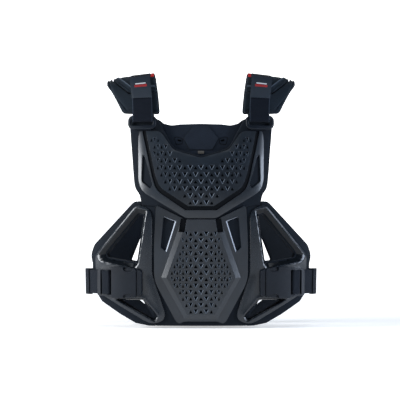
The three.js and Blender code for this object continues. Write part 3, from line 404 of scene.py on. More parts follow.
def colour(code):
    # a screen colour such as '2b3138' as linear light
    parts = [int(code[i:i + 2], 16) / 255 for i in (0, 2, 4)]
    return tuple(p / 12.92 if p <= 0.04045 else ((p + 0.055) / 1.055) ** 2.4 for p in parts) + (1.0,)


shellTones = dict(dark='0e141b', light='161e27', grain=1400, grainDepth=0.00006)
foamTones = dict(dark='0b1016', light='121922', roughness=0.86, pores=900, poreDepth=0.0004)
fabricTones = dict(dark='121822', light='1c242f', roughness=0.82, thread=1.1)
webbingTones = dict(dark='090e16', light='131b26', roughness=0.7, rib=1.6)


def shellLook(roughness):
    look = Look('satinShell', Specular_IOR_Level=0.55)
    cloud = look.noise(9, 3)
    grain = look.noise(shellTones['grain'], 2)
    scuffs = look.noise(60, 6, 0.7)
    tone = look.mix(look.rescale(cloud, 0.35, 0.65, 0, 1), colour(shellTones['dark']),
                    colour(shellTones['light']))
    rough = roughness + (scuffs - 0.5) * 0.12 + (grain - 0.5) * 0.08
    return look.finish(Base_Color=tone, Roughness=rough,
                       Normal=look.bump(grain, 0.35, shellTones['grainDepth']))


# near-black painted shade for the floors of grooves, recesses and slots
def grooveLook():
    look = Look('paintedRecessShade', Specular_IOR_Level=0.1)
    grain = look.noise(700, 3)
    tone = look.mix(grain, colour('04060a'), colour('090d12'))
    return look.finish(Base_Color=tone, Roughness=0.72 + (grain - 0.5) * 0.2,
                       Normal=look.bump(grain, 0.4, 0.0001))


def foamLook():
    look = Look('linerFoam', Specular_IOR_Level=0.15, Sheen_Weight=0.03, Sheen_Roughness=0.5)
    pores = look.node('ShaderNodeTexVoronoi', {'feature': 'F1'},
                      {'Vector': look.place(), 'Scale': foamTones['pores']})[0]
    cloud = look.noise(14, 4)
    share = look.rescale(cloud + (pores - 0.4) * 0.5, 0.2, 0.9, 0, 1)
    tone = look.mix(share, colour(foamTones['dark']), colour(foamTones['light']))
    return look.finish(Base_Color=tone, Roughness=foamTones['roughness'] + (cloud - 0.5) * 0.1,
                       Normal=look.bump(pores, 0.35, foamTones['poreDepth']))


def knitLook(name, tones, thread, piping=None):
    # a fine knit: two crossed waves on the object's own coordinates
    look = Look(name, Specular_IOR_Level=0.15, Sheen_Weight=0.05, Sheen_Roughness=0.4)
    x, y, z = look.node('ShaderNodeSeparateXYZ', None, {0: look.place()})
    turn = math.tau / (thread * mm)
    weave = ((x + y) * turn).combined('SINE') * (z * turn).combined('SINE')
    cloud = look.noise(30, 4)
    tone = look.mix(look.rescale(weave * 0.5 + cloud, 0, 1.2, 0, 1), colour(tones['dark']),
                    colour(tones['light']))
    if piping:
        line = look.node('ShaderNodeAttribute', {'attribute_name': 'piping'})[2]
        tone = look.mix(line, tone, colour(piping))
    return look.finish(Base_Color=tone, Roughness=tones['roughness'] + (cloud - 0.5) * 0.15,
                       Normal=look.bump(weave, 0.4, 0.0003))


def webbingLook(name, tones, rib, pile=0.0, bound=0.0):
    # ribs and threads follow the strap through its own UV map, in millimetres
    look = Look(name, Specular_IOR_Level=0.15, Sheen_Weight=0.04, Sheen_Roughness=0.4)
    place = look.node('ShaderNodeUVMap', {'uv_map': 'strap'})[0]
    along, across, rest = look.node('ShaderNodeSeparateXYZ', None, {0: place})
    ribs, threads = along * (math.tau / rib), across * (math.tau / (rib * 0.6))
    weave = ribs.combined('SINE') * threads.combined('SINE')
    fuzz = look.noise(1600, 3)
    tone = look.mix(look.rescale(weave * 0.5 + fuzz, 0, 1.2, 0, 1), colour(tones['dark']),
                    colour(tones['light']))
    if bound:
        tone = look.mix(across.combined('ABSOLUTE') > bound, tone, colour('2b333e'))
    height = weave * (1 - pile) + fuzz * pile * 2
    return look.finish(Base_Color=tone, Roughness=tones['roughness'] + (fuzz - 0.5) * 0.2,
                       Normal=look.bump(height, 0.5, 0.0004))


def mouldedLook(name, dark, light, roughness, shine=0.5):
    look = Look(name, Specular_IOR_Level=shine)
    cloud = look.noise(25, 3)
    grain = look.noise(1100, 2)
    tone = look.mix(cloud, colour(dark), colour(light))
    return look.finish(Base_Color=tone, Roughness=roughness + (grain - 0.5) * 0.15,
                       Normal=look.bump(grain, 0.3, 0.00008))


def tagLook():
    look = Look('brushedTag', Metallic=0.7)
    stretch = look.node('ShaderNodeMapping', None, {'Vector': look.place(), 'Scale': (1, 1, 30)})[0]
    brush = look.noise(260, 3, vector=stretch)
    tone = look.mix(brush, colour('4a4743'), colour('6b6761'))
    return look.finish(Base_Color=tone, Roughness=0.42 + (brush - 0.5) * 0.2,
                       Normal=look.bump(brush, 0.2, 0.0001))


looks = dict(
    shell=shellLook(0.32),
    wing=mouldedLook('glossierShell', '0e141b', '161e27', 0.28),
    groove=grooveLook(),
    foam=foamLook(),
    bib=knitLook('bibKnit', fabricTones, fabricTones['thread']),
    pad=knitLook('padCover', dict(dark='0d141b', light='18222b', roughness=0.85), 1.3, '525c68'),
    pile=webbingLook('loopPile', dict(dark='060a12', light='0f1621', roughness=0.95), 2.2, 0.8, 19.6),
    webbing=webbingLook('ribbedWebbing', webbingTones, webbingTones['rib']),
    redWebbing=webbingLook('redTape', dict(dark='9c1512', light='c8221d', roughness=0.7), 1.2),
    tab=mouldedLook('slateTab', '151d27', '202933', 0.6, 0.3),
    label=mouldedLook('paleLabel', 'b9bcc0', 'd2d4d6', 0.5),
    redBar=mouldedLook('redBar', '7f1a1c', '97272a', 0.6, 0.3),
    hardware=mouldedLook('mouldedNylon', '080e16', '0e1620', 0.36, 0.24),
    tag=tagLook(),
    gloss=mouldedLook('glossySlope', '080b0f', '0d1116', 0.14, 0.22),
    # pale blue-grey painted highlight for the holes' slanting sides
    chamferHighlight=mouldedLook('paintedHighlightChamfer', '59626e', '6c7682', 0.35),
    # pale grey painted highlight for the abdomen slots' sloping lips
    lipHighlight=mouldedLook('paintedHighlightLip', '9aa1ad', 'b4bac4', 0.3),
)
print('finishes ready:', len(looks))


def dress(piece, node, finish):
    # gives a piece its finish and its place in the frame
    if not piece.data.materials:
        piece.data.materials.append(looks[finish])
    if finish in ('shell', 'hardware'):
        finishWith(piece, 'WEIGHTED_NORMAL', keep_sharp=True, use_face_influence=True)
    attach(piece, 'root')
    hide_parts(node)


def dressBoth(piece, node, finish):
    twin = twinOf(piece, piece.name.replace('Right', 'Left'))
    dress(piece, node + '_right', finish)
    dress(twin, node + '_left', finish)


# holes that point down and up in turn


def columnPlace(column, middle, outer, fade):
    place = 0
    for step in np.arange(0.5, abs(column), 1):
        place += outer + (middle - outer) / (1 + (step / fade) ** 4)
    return math.copysign(place, column) if column else 0


def holeCutter(top, bottom, deep):
    # a three-sided cone whose narrow end is drawn down through the shell
    selectOnly()
    bpy.ops.mesh.primitive_cone_add(vertices=3, radius1=bottom * mm, radius2=top * mm,
                                    depth=(2 + deep) * mm)
    cone = bpy.context.object
    writePoints(cone, readPoints(cone) + (0, 0, 1 - deep / 2))
    editAll(cone)
    bpy.ops.mesh.select_all(action='DESELECT')
    objectMode()
    for face in cone.data.polygons:
        face.select = face.normal.z < -0.9
    bpy.ops.object.mode_set(mode='EDIT')
    bpy.ops.mesh.select_mode(type='FACE')
    bpy.ops.mesh.extrude_region_move(TRANSFORM_OT_translate={'value': (0, 0, -9 * mm)})
    objectMode()
    return cone


def triangleCutters(field, holes):
    # one bevelled and one plain cutter, copied to every place of the field that has room for them
    bevelled, plain = holeCutter(1.4, 0.68, 1.5), holeCutter(1.0, 0.94, 1.0)
    shapes = {True: readPoints(bevelled), False: readPoints(plain)}
    copies = []
    spread = holes['middle'], holes['outer'], holes['fade']
    for row in range(holes['firstRow'], holes['rows']):
        for column in range(-holes['reach'], holes['reach'] + 1):
            across = columnPlace(column, *spread)
            up = holes['top'] - row * holes['rowPitch']
            wide = abs(columnPlace(abs(column) + 1, *spread)) - abs(across)
            pointsDown = (abs(column) + row) % 2 == (0 if holes['firstDown'] else 1)
            size = holes['downSize'] if pointsDown else holes['upSize']
            halfWide, halfHigh = wide * size, holes['rowPitch'] * size * 0.72
            corners = [(across - halfWide, up - halfHigh), (across + halfWide, up - halfHigh),
                       (across - halfWide, up + halfHigh), (across + halfWide, up + halfHigh)]
            if not isInside(*np.array(corners).T, field).all():
                continue
            source = bevelled if pointsDown else plain
            copy = source.copy()
            copy.data = source.data.copy()
            bpy.context.collection.objects.link(copy)
            turn = -1 if pointsDown else 1
            shape = shapes[pointsDown]
            writePoints(copy, np.stack([across + shape[:, 0] * turn * halfWide * 1.155,
                                        up + (shape[:, 1] - 0.25) * turn * halfHigh * 1.333,
                                        shape[:, 2] + holes['surface']], axis=1))
            copies.append(copy)
    bpy.data.objects.remove(bevelled, do_unlink=True)
    bpy.data.objects.remove(plain, do_unlink=True)
    return joinUp(copies)


def paintChamferHighlights(piece, field):
    # the slanting sides of the holes get a pale blue-grey colour as a painted highlight, where they
    # catch the light
    piece.data.materials.append(looks['chamferHighlight'])
    last = len(piece.data.materials) - 1
    across, up, out = faceCentres(piece)
    for face, inField in zip(piece.data.polygons, isInside(across, up, field)):
        if inField and 0.15 < face.normal.z < 0.95 and abs(face.normal.x) > 0.3:
            face.material_index = last


# chest shell

chest = dict(
    halfWidth=132, top=foamTop - 33.5, height=183, grooveDepth=2.3, edge=0.9,
    outline=[(0, .308), (.05, .303, 5), (.396, .23, 8), (.452, .205, 6), (.646, 0, 12),
             (.985, 0, 6), (1, .12), (.998, .574, 10), (.939, .695, 16), (.692, .802),
             (.2545, .992, 6), (.2, 1), (0, 1)],
    grooveOuter=[(.942, -.02), (.775, .534), (.711, .682, 14), (.25, .909), (0, .909)],
    grooveInner=[(.885, -.02), (.726, .505), (.658, .646, 12), (.202, .862), (0, .862)],
    window=[(.926, .29, 3), (.9, .305, 2), (.778, .612, 4), (.803, .65, 4), (.937, .574, 4)],
    windowTop=[(.932, .262, 3), (.893, .285, 2), (.762, .617, 5), (.8, .672, 5), (.95, .585, 5)],
    holeField=[(0, .36), (.18, .335), (.42, .27), (.54, .13), (.64, .03), (.86, .03), (.71, .5),
               (.64, .64), (.17, .86), (0, .86)],
    holes=dict(firstRow=-4, rows=7, reach=20, surface=0, middle=11.2, outer=5.5, fade=7.5,
               rowPitch=14.6, firstDown=True, downSize=0.56, upSize=0.36),
    rimTurn=0.9, rimWay=3, crown=1.2, crownWay=70,
)


def onChest(rows):
    return sharesToPlaces(rows, chest['halfWidth'], chest['top'], chest['height'])


def paintRecessShade(piece, level):
    # the floor of a groove or recess gets a near-black colour as painted shade
    piece.data.materials.append(looks['shell'])
    piece.data.materials.append(looks['groove'])
    for face in piece.data.polygons:
        heights = [piece.data.vertices[v].co.z / mm for v in face.vertices]
        if max(heights) < level + 0.7 and min(heights) > level - 0.3 and face.normal.z > 0.2:
            face.material_index = 1


def makeChest():
    plate = prism('chestShell', rounded(bothSides(onChest(chest['outline']))), -layers['shell'], 0)
    outer, inner = [rounded(bothSides(onChest(chest[rim]))) for rim in ('grooveOuter', 'grooveInner')]
    ring = prism('grooveCut', outer, -chest['grooveDepth'], 2)
    island = prism('grooveKeep', inner, -chest['grooveDepth'] - 2, 4)
    combine(ring, island)
    combine(plate, ring)
    for turn in (list, flipped):
        low, high = turn(onChest(chest['window'])), turn(onChest(chest['windowTop']))
        cut(plate, rounded(low), -layers['shell'] - 1, 1, rounded(high))
    softenEdges(plate, chest['edge'], 3)
    paintRecessShade(plate, -chest['grooveDepth'])
    holes = dict(chest['holes'], top=chest['top'] - chest['height'] * 0.425)
    field = bothSides(onChest(chest['holeField']))
    combine(plate, triangleCutters(field, holes))
    paintChamferHighlights(plate, field)
    slicePiece(plate, 6, 9)
    outline = bothSides(onChest(chest['outline']))

    def relief(across, up):
        # the rim turns in a little and the centre panel is crowned
        rim = edgeDistance(across, up, outline)
        return (chest['crown'] * np.exp(-(across / chest['crownWay']) ** 2)
                - chest['rimTurn'] * np.exp(-(rim / chest['rimWay']) ** 2))

    bendPiece(plate, onFront, relief)
    shadeSmooth(plate, 12)
    dress(plate, 'chest_shell', 'shell')


makeChest()
print('chest shell done')

# abdomen shell

abdomen = dict(
    halfWidth=98, bottom=foamBottom + 5, boxRise=5, plainTop=20, recessDepth=1.8,
    edge=0.8, flare=9.5,
    side=[(.965, .015, 5), (.98, .16), (1, .33), (.998, .6, 10), (.955, .668, 10),
          (.535, .98, 6), (.47, 1, 5), (.35, .98, 4), (0, .98)],
    boxOuter=[(.422, .1), (.857, .607), (.35, .965), (0, .965)],
    boxInner=[(.287, .1), (.729, .607), (.292, .923), (0, .923)],
    recess=[(.43, .108), (.3, .108), (.345, .225), (.475, .22)],
    slotOuter=[(.8, .09), (.525, .13), (.735, .395), (.862, .355)],
    slotInner=[(.79, .096), (.56, .132), (.757, .38), (.85, .348)],
    holes=dict(firstRow=0, rows=13, reach=8, surface=5, middle=10.9, outer=5.4, fade=2.8,
               firstDown=False, downSize=0.52, upSize=0.4),
)


def chestLowerEdge(across):
    edge = [point[:2] for point in onChest(chest['outline'][9:])]
    places = [x for x, z in reversed(edge)]
    return float(np.interp(across, places, [z for x, z in reversed(edge)]))


def abdomenTopEdge(across):
    return chestLowerEdge(across) - layers['seam'] - abdomen['flare'] * across / abdomen['halfWidth']


def makeAbdomen():
    half = abdomen['halfWidth']
    corner = abdomenTopEdge(half * 0.93)
    height = corner - abdomen['bottom']

    def onAbdomen(rows):
        return sharesToPlaces(rows, half, corner, height)

    def boxAt(rows, top):
        places = onAbdomen(rows)
        return bothSides([(0, top)] + [(places[0][0], top)] + places[1:])

    top = [(share * half, abdomenTopEdge(share * half)) for share in (0, 0.33, 0.93)]
    outline = rounded(bothSides(top + onAbdomen(abdomen['side'])))
    plate = prism('abdomenShell', outline, -layers['shell'], 0)
    boxTop = abdomenTopEdge(0) - 1
    boxLow = [point[:2] for point in boxAt(abdomen['boxOuter'], boxTop)]
    boxHigh = [point[:2] for point in boxAt(abdomen['boxInner'], boxTop)]
    add(plate, boxLow, -0.5, abdomen['boxRise'], boxHigh)
    for turn in (list, flipped):
        recess = [point[:2] for point in turn(onAbdomen(abdomen['recess']))]
        cut(plate, recess, -abdomen['recessDepth'], abdomen['boxRise'] + 2)
        low = rounded([(x, z, 2) for x, z, r in turn(onAbdomen(abdomen['slotInner']))])
        high = rounded([(x, z, 2) for x, z, r in turn(onAbdomen(abdomen['slotOuter']))])
        cut(plate, low, -layers['shell'] - 0.6, 0.4, high)
    softenEdges(plate, abdomen['edge'], 3, 25)
    # the recess floors get the near-black colour as painted shade
    paintRecessShade(plate, -abdomen['recessDepth'])
    # the slots' outer lips get a pale colour as a painted highlight, where the bevel reflects the side
    # lamps
    plate.data.materials.append(looks['lipHighlight'])
    across, up, out = faceCentres(plate)
    inSlot = isInside(np.abs(across), up, onAbdomen(abdomen['slotOuter']))
    inSlot &= (out > -layers['shell']) & (out < 0)
    for face, x, inside in zip(plate.data.polygons, across, inSlot):
        if inside and 0.1 < face.normal.x * (1 if x > 0 else -1) < 0.9:
            face.material_index = 2
    rowPitch = height * 0.0548
    holes = dict(abdomen['holes'], top=corner - height * 0.237, rowPitch=rowPitch)
    field = bothSides([(0, boxTop - abdomen['plainTop'])]
                      + [(x - 1.5, z, r) for x, z, r in onAbdomen(abdomen['boxInner'])])
    combine(plate, triangleCutters(field, holes))
    paintChamferHighlights(plate, field)
    slicePiece(plate, 6, 9)
    bendPiece(plate, onFront)
    shadeSmooth(plate, 12)
    dress(plate, 'abdomen_shell', 'shell')


makeAbdomen()
print('abdomen shell done')

# wings: shells and liner, front and back

wing = dict(
    inner=102.5, span=122, top=foamTop - 189, height=248, tuck=6.5, edge=0.9,
    crown=3, crownWay=9, riseWay=5, sink=5,
    step=dict(wide=2.8, deep=0.9), backStep=dict(wide=1.5, deep=0.5),
    outline=[(.3, .01, 5), (.22, 0, 4), (.11, .02, 8), (.03, .05, 5), (0, .1), (0, .5, 20),
             (0, .58, 12), (-.23, .92, 8), (-.2, .97, 6), (-.1, .995, 6), (.02, 1, 8), (.16, .97),
             (.61, .84), (.92, .75, 10), (.995, .55), (1, .45, 6), (.975, .41, 4)],
    foam=[(1.045, .338, 6), (.345, -.022, 6), (.29, -.035, 4), (.21, -.022)],
    foamLower=[(.065, 1.019), (.29, .998), (.56, .925), (.895, .82), (.975, .765, 8), (1.065, .637),
               (1.075, .5), (1.11, .43, 8)],
    frontWindows=[
        ([(.26, .03), (.1, .05), (.24, .5), (.29, .53), (.9, .47), (.935, .425)],
         [(.245, .075), (.155, .085), (.265, .465), (.305, .485), (.79, .445), (.825, .415)]),
        ([(.62, .795), (.15, .79), (-.1, .935), (-.045, .977)],
         [(.575, .805), (.17, .803), (-.065, .937), (-.037, .959)]),
    ],
    backWindows=[
        ([(.215, .18), (.1, .19), (.16, .52), (.47, .5)],
         [(.2, .21), (.125, .215), (.18, .505), (.43, .485)]),
        ([(.5, .76), (.1, .76), (.02, .85), (.11, .92)],
         [(.46, .77), (.12, .77), (.05, .85), (.11, .9)]),
    ],
)


def onWing(rows):
    return [(wing['inner'] + out * wing['span'], wing['top'] - down * wing['height'], radius)
            for out, down, radius in withRadius(rows)]


def wingForm(windows):
    # the bars are crowned and their inner sides sink towards the openings
    outline = onWing(wing['outline'])

    def relief(across, up):
        rim = edgeDistance(across, up, outline)
        form = wing['crown'] * (1 - np.exp(-(rim / wing['crownWay']) ** 2)) - 0.4
        for outer, inner in windows:
            mouth, opening = onWing(outer), onWing(inner)
            fromMouth = edgeDistance(across, up, mouth)
            share = fromMouth / np.maximum(fromMouth + edgeDistance(across, up, opening), 1e-6)
            share = np.where(isInside(across, up, opening), 1, share)
            form = form - np.where(isInside(across, up, mouth), wing['sink'] * share, 0)
            rise = wing['crown'] * 0.5 * np.exp(-(fromMouth / wing['riseWay']) ** 2)
            form = form + np.where(isInside(across, up, mouth), 0, rise)
        return form
    return relief


def widened(outline, grow):
    # the same outline with each side moved outwards
    ring = np.array([point[:2] for point in outline], dtype=float)
    following = np.roll(ring, -1, axis=0)
    turning = np.sign(np.sum(ring[:, 0] * following[:, 1] - following[:, 0] * ring[:, 1]))
    ways = (following - ring) / np.linalg.norm(following - ring, axis=1)[:, None]
    normals = np.stack([ways[:, 1], -ways[:, 0]], axis=1) * turning
    result = []
    for i, corner in enumerate(ring):
        both = np.stack([normals[i - 1], normals[i]])
        result.append(tuple(corner + np.linalg.solve(both, [grow, grow])))
    return result


def makeWingShell(name, windows, place, step):
    outline = rounded(onWing(wing['outline']))
    plate = prism(name, outline, -layers['shell'], 0)
    for outer, inner in windows:
        rim = rounded([(x, z, 5) for x, z in widened(onWing(outer), step['wide'])])
        cut(plate, rim, -step['deep'], 3)
        low = rounded([(x, z, 4) for x, z, r in onWing(inner)])
        high = rounded([(x, z, 4) for x, z, r in onWing(outer)])
        cut(plate, low, -layers['shell'] - 0.4, 0.25 - step['deep'], high)
        cut(plate, high, 0.15 - step['deep'], 3)
    softenEdges(plate, wing['edge'], 3, 30)
    slicePiece(plate, 3, 4)
    plate.data.materials.append(looks['wing'])
    plate.data.materials.append(looks['gloss'])
    across, up, out = faceCentres(plate)
    for outer, inner in windows:
        slopes = isInside(across, up, widened(onWing(outer), wing['edge'] + 0.1))
        for face, slope in zip(plate.data.polygons, slopes):
            if slope:
                face.material_index = 1
    bendPiece(plate, place, wingForm(windows))
    finishWith(plate, 'SMOOTH', factor=0.5, iterations=4)
    shadeSmooth(plate, 30)
    return plate


def makeWingFoam(name, windows, place):
    inner = wing['inner'] - wing['tuck'] + 0.3
    corner = torso['foamHalfWidth'] * 0.833
    top = wing['top'] - layers['fit'] * 2
    outline = rounded(withRadius(onWing(wing['foam']) + [
        (corner + layers['seam'], top), (inner, top - layers['seam'] * 2), (inner, foamBottom),
    ] + onWing(wing['foamLower'])))
    plate = prism(name, outline, foamIn, foamOut)
    for mouth, opening in windows:
        hole = rounded([(max(x, inner + 6), z, 3) for x, z, r in onWing(opening)])
        cut(plate, hole, foamIn - 1, foamOut + 1)
    softenEdges(plate, 2.2, 3, 50)
    slicePiece(plate, 5, 8)
    form = wingForm(windows)
    bendPiece(plate, place, lambda across, up: np.minimum(form(across, up), 0))
    shadeSmooth(plate, 50)
    return plate


for name, node, windows, step, place in (
        ('wing', 'wing', wing['frontWindows'], wing['step'], onFront),
        ('backWing', 'back_wing', wing['backWindows'], wing['backStep'], onBack)):
    dressBoth(makeWingShell(name + 'ShellRight', windows, place, step), node + '_shell', 'wing')
    dressBoth(makeWingFoam(name + 'FoamRight', windows, place), node + '_foam', 'foam')
print('wings done')

# body foam, front and back

bodyFoam = dict(
    edge=2.4,
    front=[(0, .194), (.042, .191, 5), (.35, .158, 8), (.406, .1425, 6), (.574, .036), (.651, 0, 8),
           (.94, 0, 12), (1, .03, 12), (1, .06), (.96, .261), (.937, .345, 14), (.863, .377, 6),
           (.836, .4175)],
    back=[(0, .1), (.3, .09, 10), (.62, 0, 10), (.94, 0, 12), (1, .04, 10), (.94, .33, 14),
          (.84, .4, 6)],
)


def makeBodyFoam(name, rows, place):
    upper = sharesToPlaces(rows, torso['foamHalfWidth'], foamTop, torso['frontHeight'])
    waist = wing['inner'] - wing['tuck']
    top = wing['top'] - layers['fit'] * 2
    lower = [(torso['foamHalfWidth'] * 0.833, top), (waist, top - layers['seam']), (waist, foamBottom),
             (0, foamBottom)]
    plate = prism(name, rounded(bothSides(upper + lower)), foamIn, foamOut)
    softenEdges(plate, bodyFoam['edge'], 3, 50)
    slicePiece(plate, 8, 10)
    bendPiece(plate, place)
    shadeSmooth(plate, 50)
    return plate


dress(makeBodyFoam('frontFoam', bodyFoam['front'], onFront), 'front_foam', 'foam')
dress(makeBodyFoam('backFoam', bodyFoam['back'], onBack), 'back_foam', 'foam')
print('body foam done')

# back shell

backPlate = dict(
    halfWidth=112, top=foamTop - 55.5, height=372, spineRise=5, edge=0.9,
    outline=[(0, .03), (.32, 0, 10), (.92, 0, 12), (1, .06, 10), (.96, .29, 12), (.84, .37, 12),
             (.66, .56, 16), (.6, .94, 10), (.5, 1, 8), (0, 1)],
    spineOuter=[(0, .06), (.3, .06), (.42, .36), (.3, .95), (0, .95)],
    spineInner=[(0, .08), (.22, .08), (.32, .36), (.22, .93), (0, .93)],
)


def makeBackShell():
    def onShell(rows):
        return sharesToPlaces(rows, backPlate['halfWidth'], backPlate['top'], backPlate['height'])

    plate = prism('backShell', rounded(bothSides(onShell(backPlate['outline']))), -layers['shell'], 0)
    low = [point[:2] for point in bothSides(onShell(backPlate['spineOuter']))]
    high = [point[:2] for point in bothSides(onShell(backPlate['spineInner']))]
    add(plate, low, -0.5, backPlate['spineRise'], high)
    softenEdges(plate, backPlate['edge'], 3, 25)
    slicePiece(plate, 7, 10)
    bendPiece(plate, onBack)
    shadeSmooth(plate, 14)
    dress(plate, 'back_shell', 'shell')


makeBackShell()
print('back shell done')

# neck bib and its bare tag

bib = dict(
    halfWidth=90, top=foamTop - 12.5, height=84.5, thick=6, rise=2, edge=1.2,
    outline=[(0, .025), (.49, .04), (.71, .07, 5), (.93, .01, 5), (1, .03, 4), (.755, .625, 6),
             (.61, .81, 8), (0, 1.025)],
    shield=[(0, .07), (.2, .085), (.434, .4), (.28, .689), (0, .689)],
    slot=[(.47, .43, 1), (.56, .41, 1), (.565, .455, 1), (.475, .475, 1)],
    slotShade=[(.46, .42), (.57, .4), (.575, .465), (.465, .485)],
    slotFrame=[(.42, .4, 3), (.58, .35, 4), (.66, .37, 4), (.6, .56, 4), (.44, .53, 3)],
    tag=dict(wide=13, high=6, thick=1.2, down=0.744),
)


def makeBib():
    def onBib(rows):
        return sharesToPlaces(rows, bib['halfWidth'], bib['top'], bib['height'])

    bibOut = foamIn - 2 * layers['fit']
    plate = prism('neckBib', rounded(bothSides(onBib(bib['outline']))), bibOut - bib['thick'], bibOut)
    shield = bothSides(onBib(bib['shield']))
    low = [point[:2] for point in shield]
    middle = np.mean(low, axis=0)
    high = [tuple(middle + (np.array(point) - middle) * 0.955) for point in low]
    add(plate, low, bibOut - 1, bibOut + bib['rise'], high)
    for turn in (list, flipped):
        rim = turn(onBib(bib['slotFrame']))
        ring = prism('frameCut', rounded(rim), bibOut - 0.8, bibOut + 5)
        centre = np.mean([point[:2] for point in rim], axis=0)
        smaller = [(centre[0] + (x - centre[0]) * 0.88, centre[1] + (z - centre[1]) * 0.84, r)
                   for x, z, r in rim]
        cut(ring, rounded(smaller), bibOut - 3, bibOut + 7)
        combine(plate, ring)
        slot = rounded(turn(onBib(bib['slot'])), 2)
        cut(plate, slot, bibOut - bib['thick'] + 1, bibOut + 5)
    # the slot floors, the frame's cut floor and the shield's sloping sides get the near-black colour as
    # painted shade
    plate.data.materials.append(looks['bib'])
    plate.data.materials.append(looks['groove'])
    across, up, out = faceCentres(plate)
    above = out - bibOut
    shadedSlotFloors = isInside(np.abs(across), up, onBib(bib['slotShade'])) & (above < -0.5)
    for face, shadedSlotFloor, high in zip(plate.data.polygons, shadedSlotFloors, above):
        if shadedSlotFloor or -0.9 < high < -0.3 or 0.1 < high < bib['rise'] - 0.1:
            face.material_index = 1
    softenEdges(plate, bib['edge'], 3, 40)
    slicePiece(plate, 6, 6)
    bendPiece(plate, onFront)
    shadeSmooth(plate, 45)
    dress(plate, 'neck_bib', 'bib')

    tag = bib['tag']
    middle = bib['top'] - bib['height'] * tag['down']
    half, high = tag['wide'] / 2, tag['high'] / 2
    corners = [(-half, middle - high, 1), (half, middle - high, 1), (half, middle + high, 1),
               (-half, middle + high, 1)]
    low = bibOut + layers['fit']
    plate = prism('neckTag', rounded(corners), low, low + tag['thick'])
    softenEdges(plate, 0.3, 2)
    slicePiece(plate, 3, 3)
    bendPiece(plate, onFront)
    shadeSmooth(plate)
    dress(plate, 'neck_tag', 'tag')


makeBib()
print('neck bib done')

# shoulders

shoulder = dict(
    strapPlace=123, crownLean=6, strapWidth=42, strapThick=2, rise=93, basePad=6.5, topPad=8,
    slope=0.12,
    base=dict(inner=-34, front=-105, back=94, outer=73, waist=0.72),
    top=dict(inner=-33, front=-62, back=64, outer=60, waist=0.64),
    rim=6.5, rimWay=0.7,
    tab=dict(start=-30, long=47, thick=1.4),
    patch=dict(wide=26, high=5, bar=2.2, gap=1.2, middle=-50, thick=0.5),
    red=dict(wide=7, long=20, thick=1.5, forward=16),
    loop=dict(wide=58.5, high=30, bar=6.5, rail=8.5, thick=5, drop=16),
)
padsThick = shoulder['basePad'] + layers['fit'] + shoulder['topPad']
strapLevel = foamTop - shoulder['loop']['drop']


def archTable(toFront):
    depth = float(faceDepth(np.array([shoulder['strapPlace']]), foamTop, toFront)[0])
    reach = depth + foamOut - padsThick + 1
    angle = np.linspace(math.pi / 2, math.pi if toFront else 0, 400)
    line = np.stack([reach * np.cos(angle), shoulder['rise'] * (np.sin(angle) - 1)], axis=1)
    return reach, line, wayAlong(line)


arches = {True: archTable(True), False: archTable(False)}


def overShoulder(along, out):
    # side view of a point over the shoulder: along from the crown, backwards positive
    along, out = np.broadcast_arrays(np.asarray(along, dtype=float), np.asarray(out, dtype=float))
    result = np.empty(along.shape + (2,))
    for toFront in (True, False):
        chosen = along < 0 if toFront else along >= 0
        reach, line, lengths = arches[toFront]
        way = np.abs(along[chosen])
        y = np.interp(way, lengths, line[:, 0])
        z = np.interp(way, lengths, line[:, 1])
        normal = np.stack([y / reach ** 2, (z + shoulder['rise']) / shoulder['rise'] ** 2], axis=-1)
        normal /= np.linalg.norm(normal, axis=-1)[..., None]
        beyond = np.maximum(way - lengths[-1], 0)
        result[chosen] = np.stack([y + normal[..., 0] * out[chosen],
                                   z + normal[..., 1] * out[chosen] - beyond], axis=-1)
    return result


def settle(across, y, z):
    # tilts the side view with the slope of the crown and the turn of the torso
    loopTop = strapLevel + shoulder['loop']['high'] / 2
    crown = np.clip((z - loopTop) / -loopTop, 0, 1) ** 2
    level = np.minimum(z, foamTop)
    place = shoulder['strapPlace']
    turns = [faceDepth(place + across, level, toFront) - faceDepth(place + 0 * across, level, toFront)
             for toFront in (True, False)]
    moved = np.where(y < 0, y - turns[0] * (1 - crown), y + turns[1] * (1 - crown))
    return np.stack([place + across + shoulder['crownLean'] * crown, moved,
                     z - shoulder['slope'] * across * crown], axis=1)


def onShoulder(points):
    across, along, out = points.T
    side = overShoulder(along, out)
    return settle(across, side[:, 0], side[:, 1])


def padOutline(pad):
    inner, front, back, outer = pad['inner'], pad['front'], pad['back'], pad['outer']
    waist = inner + (outer - inner) * pad['waist']
    return [(inner, front, 6), (waist, front, 9), (waist / 2 + outer / 2, front * 0.69, 20),
            (outer, front * 0.24, 7), (outer, back * 0.2, 12), (waist, back, 12), (inner, back, 6)]


padding = dict(voxel=2.8, quality=5, pressure=4, frames=20, stitch=1.6, piping=1.1)


def swell(piece, cap):
    # blows the pad up a little as cloth, no point farther than the cap
    finishWith(piece, 'REMESH', mode='VOXEL', voxel_size=padding['voxel'] * mm)
    rest = readPoints(piece)
    selectOnly(piece)
    bpy.ops.object.modifier_add(type='CLOTH')
    cloth = piece.modifiers[-1]
    cloth.settings.quality = padding['quality']
    cloth.settings.use_pressure = True
    cloth.settings.uniform_pressure_force = padding['pressure']
    cloth.settings.effector_weights.gravity = 0
    cloth.point_cache.frame_end = padding['frames']
    for step in range(padding['frames']):
        bpy.context.scene.frame_set(step + 1)
    bpy.ops.object.modifier_apply(modifier=cloth.name)
    move = readPoints(piece) - rest
    far = np.linalg.norm(move, axis=1)[:, None]
    writePoints(piece, rest + move * np.minimum(1, cap / np.maximum(far, 1e-6)))
    bpy.context.scene.frame_set(1)
    finishWith(piece, 'SUBSURF', levels=1, render_levels=1)


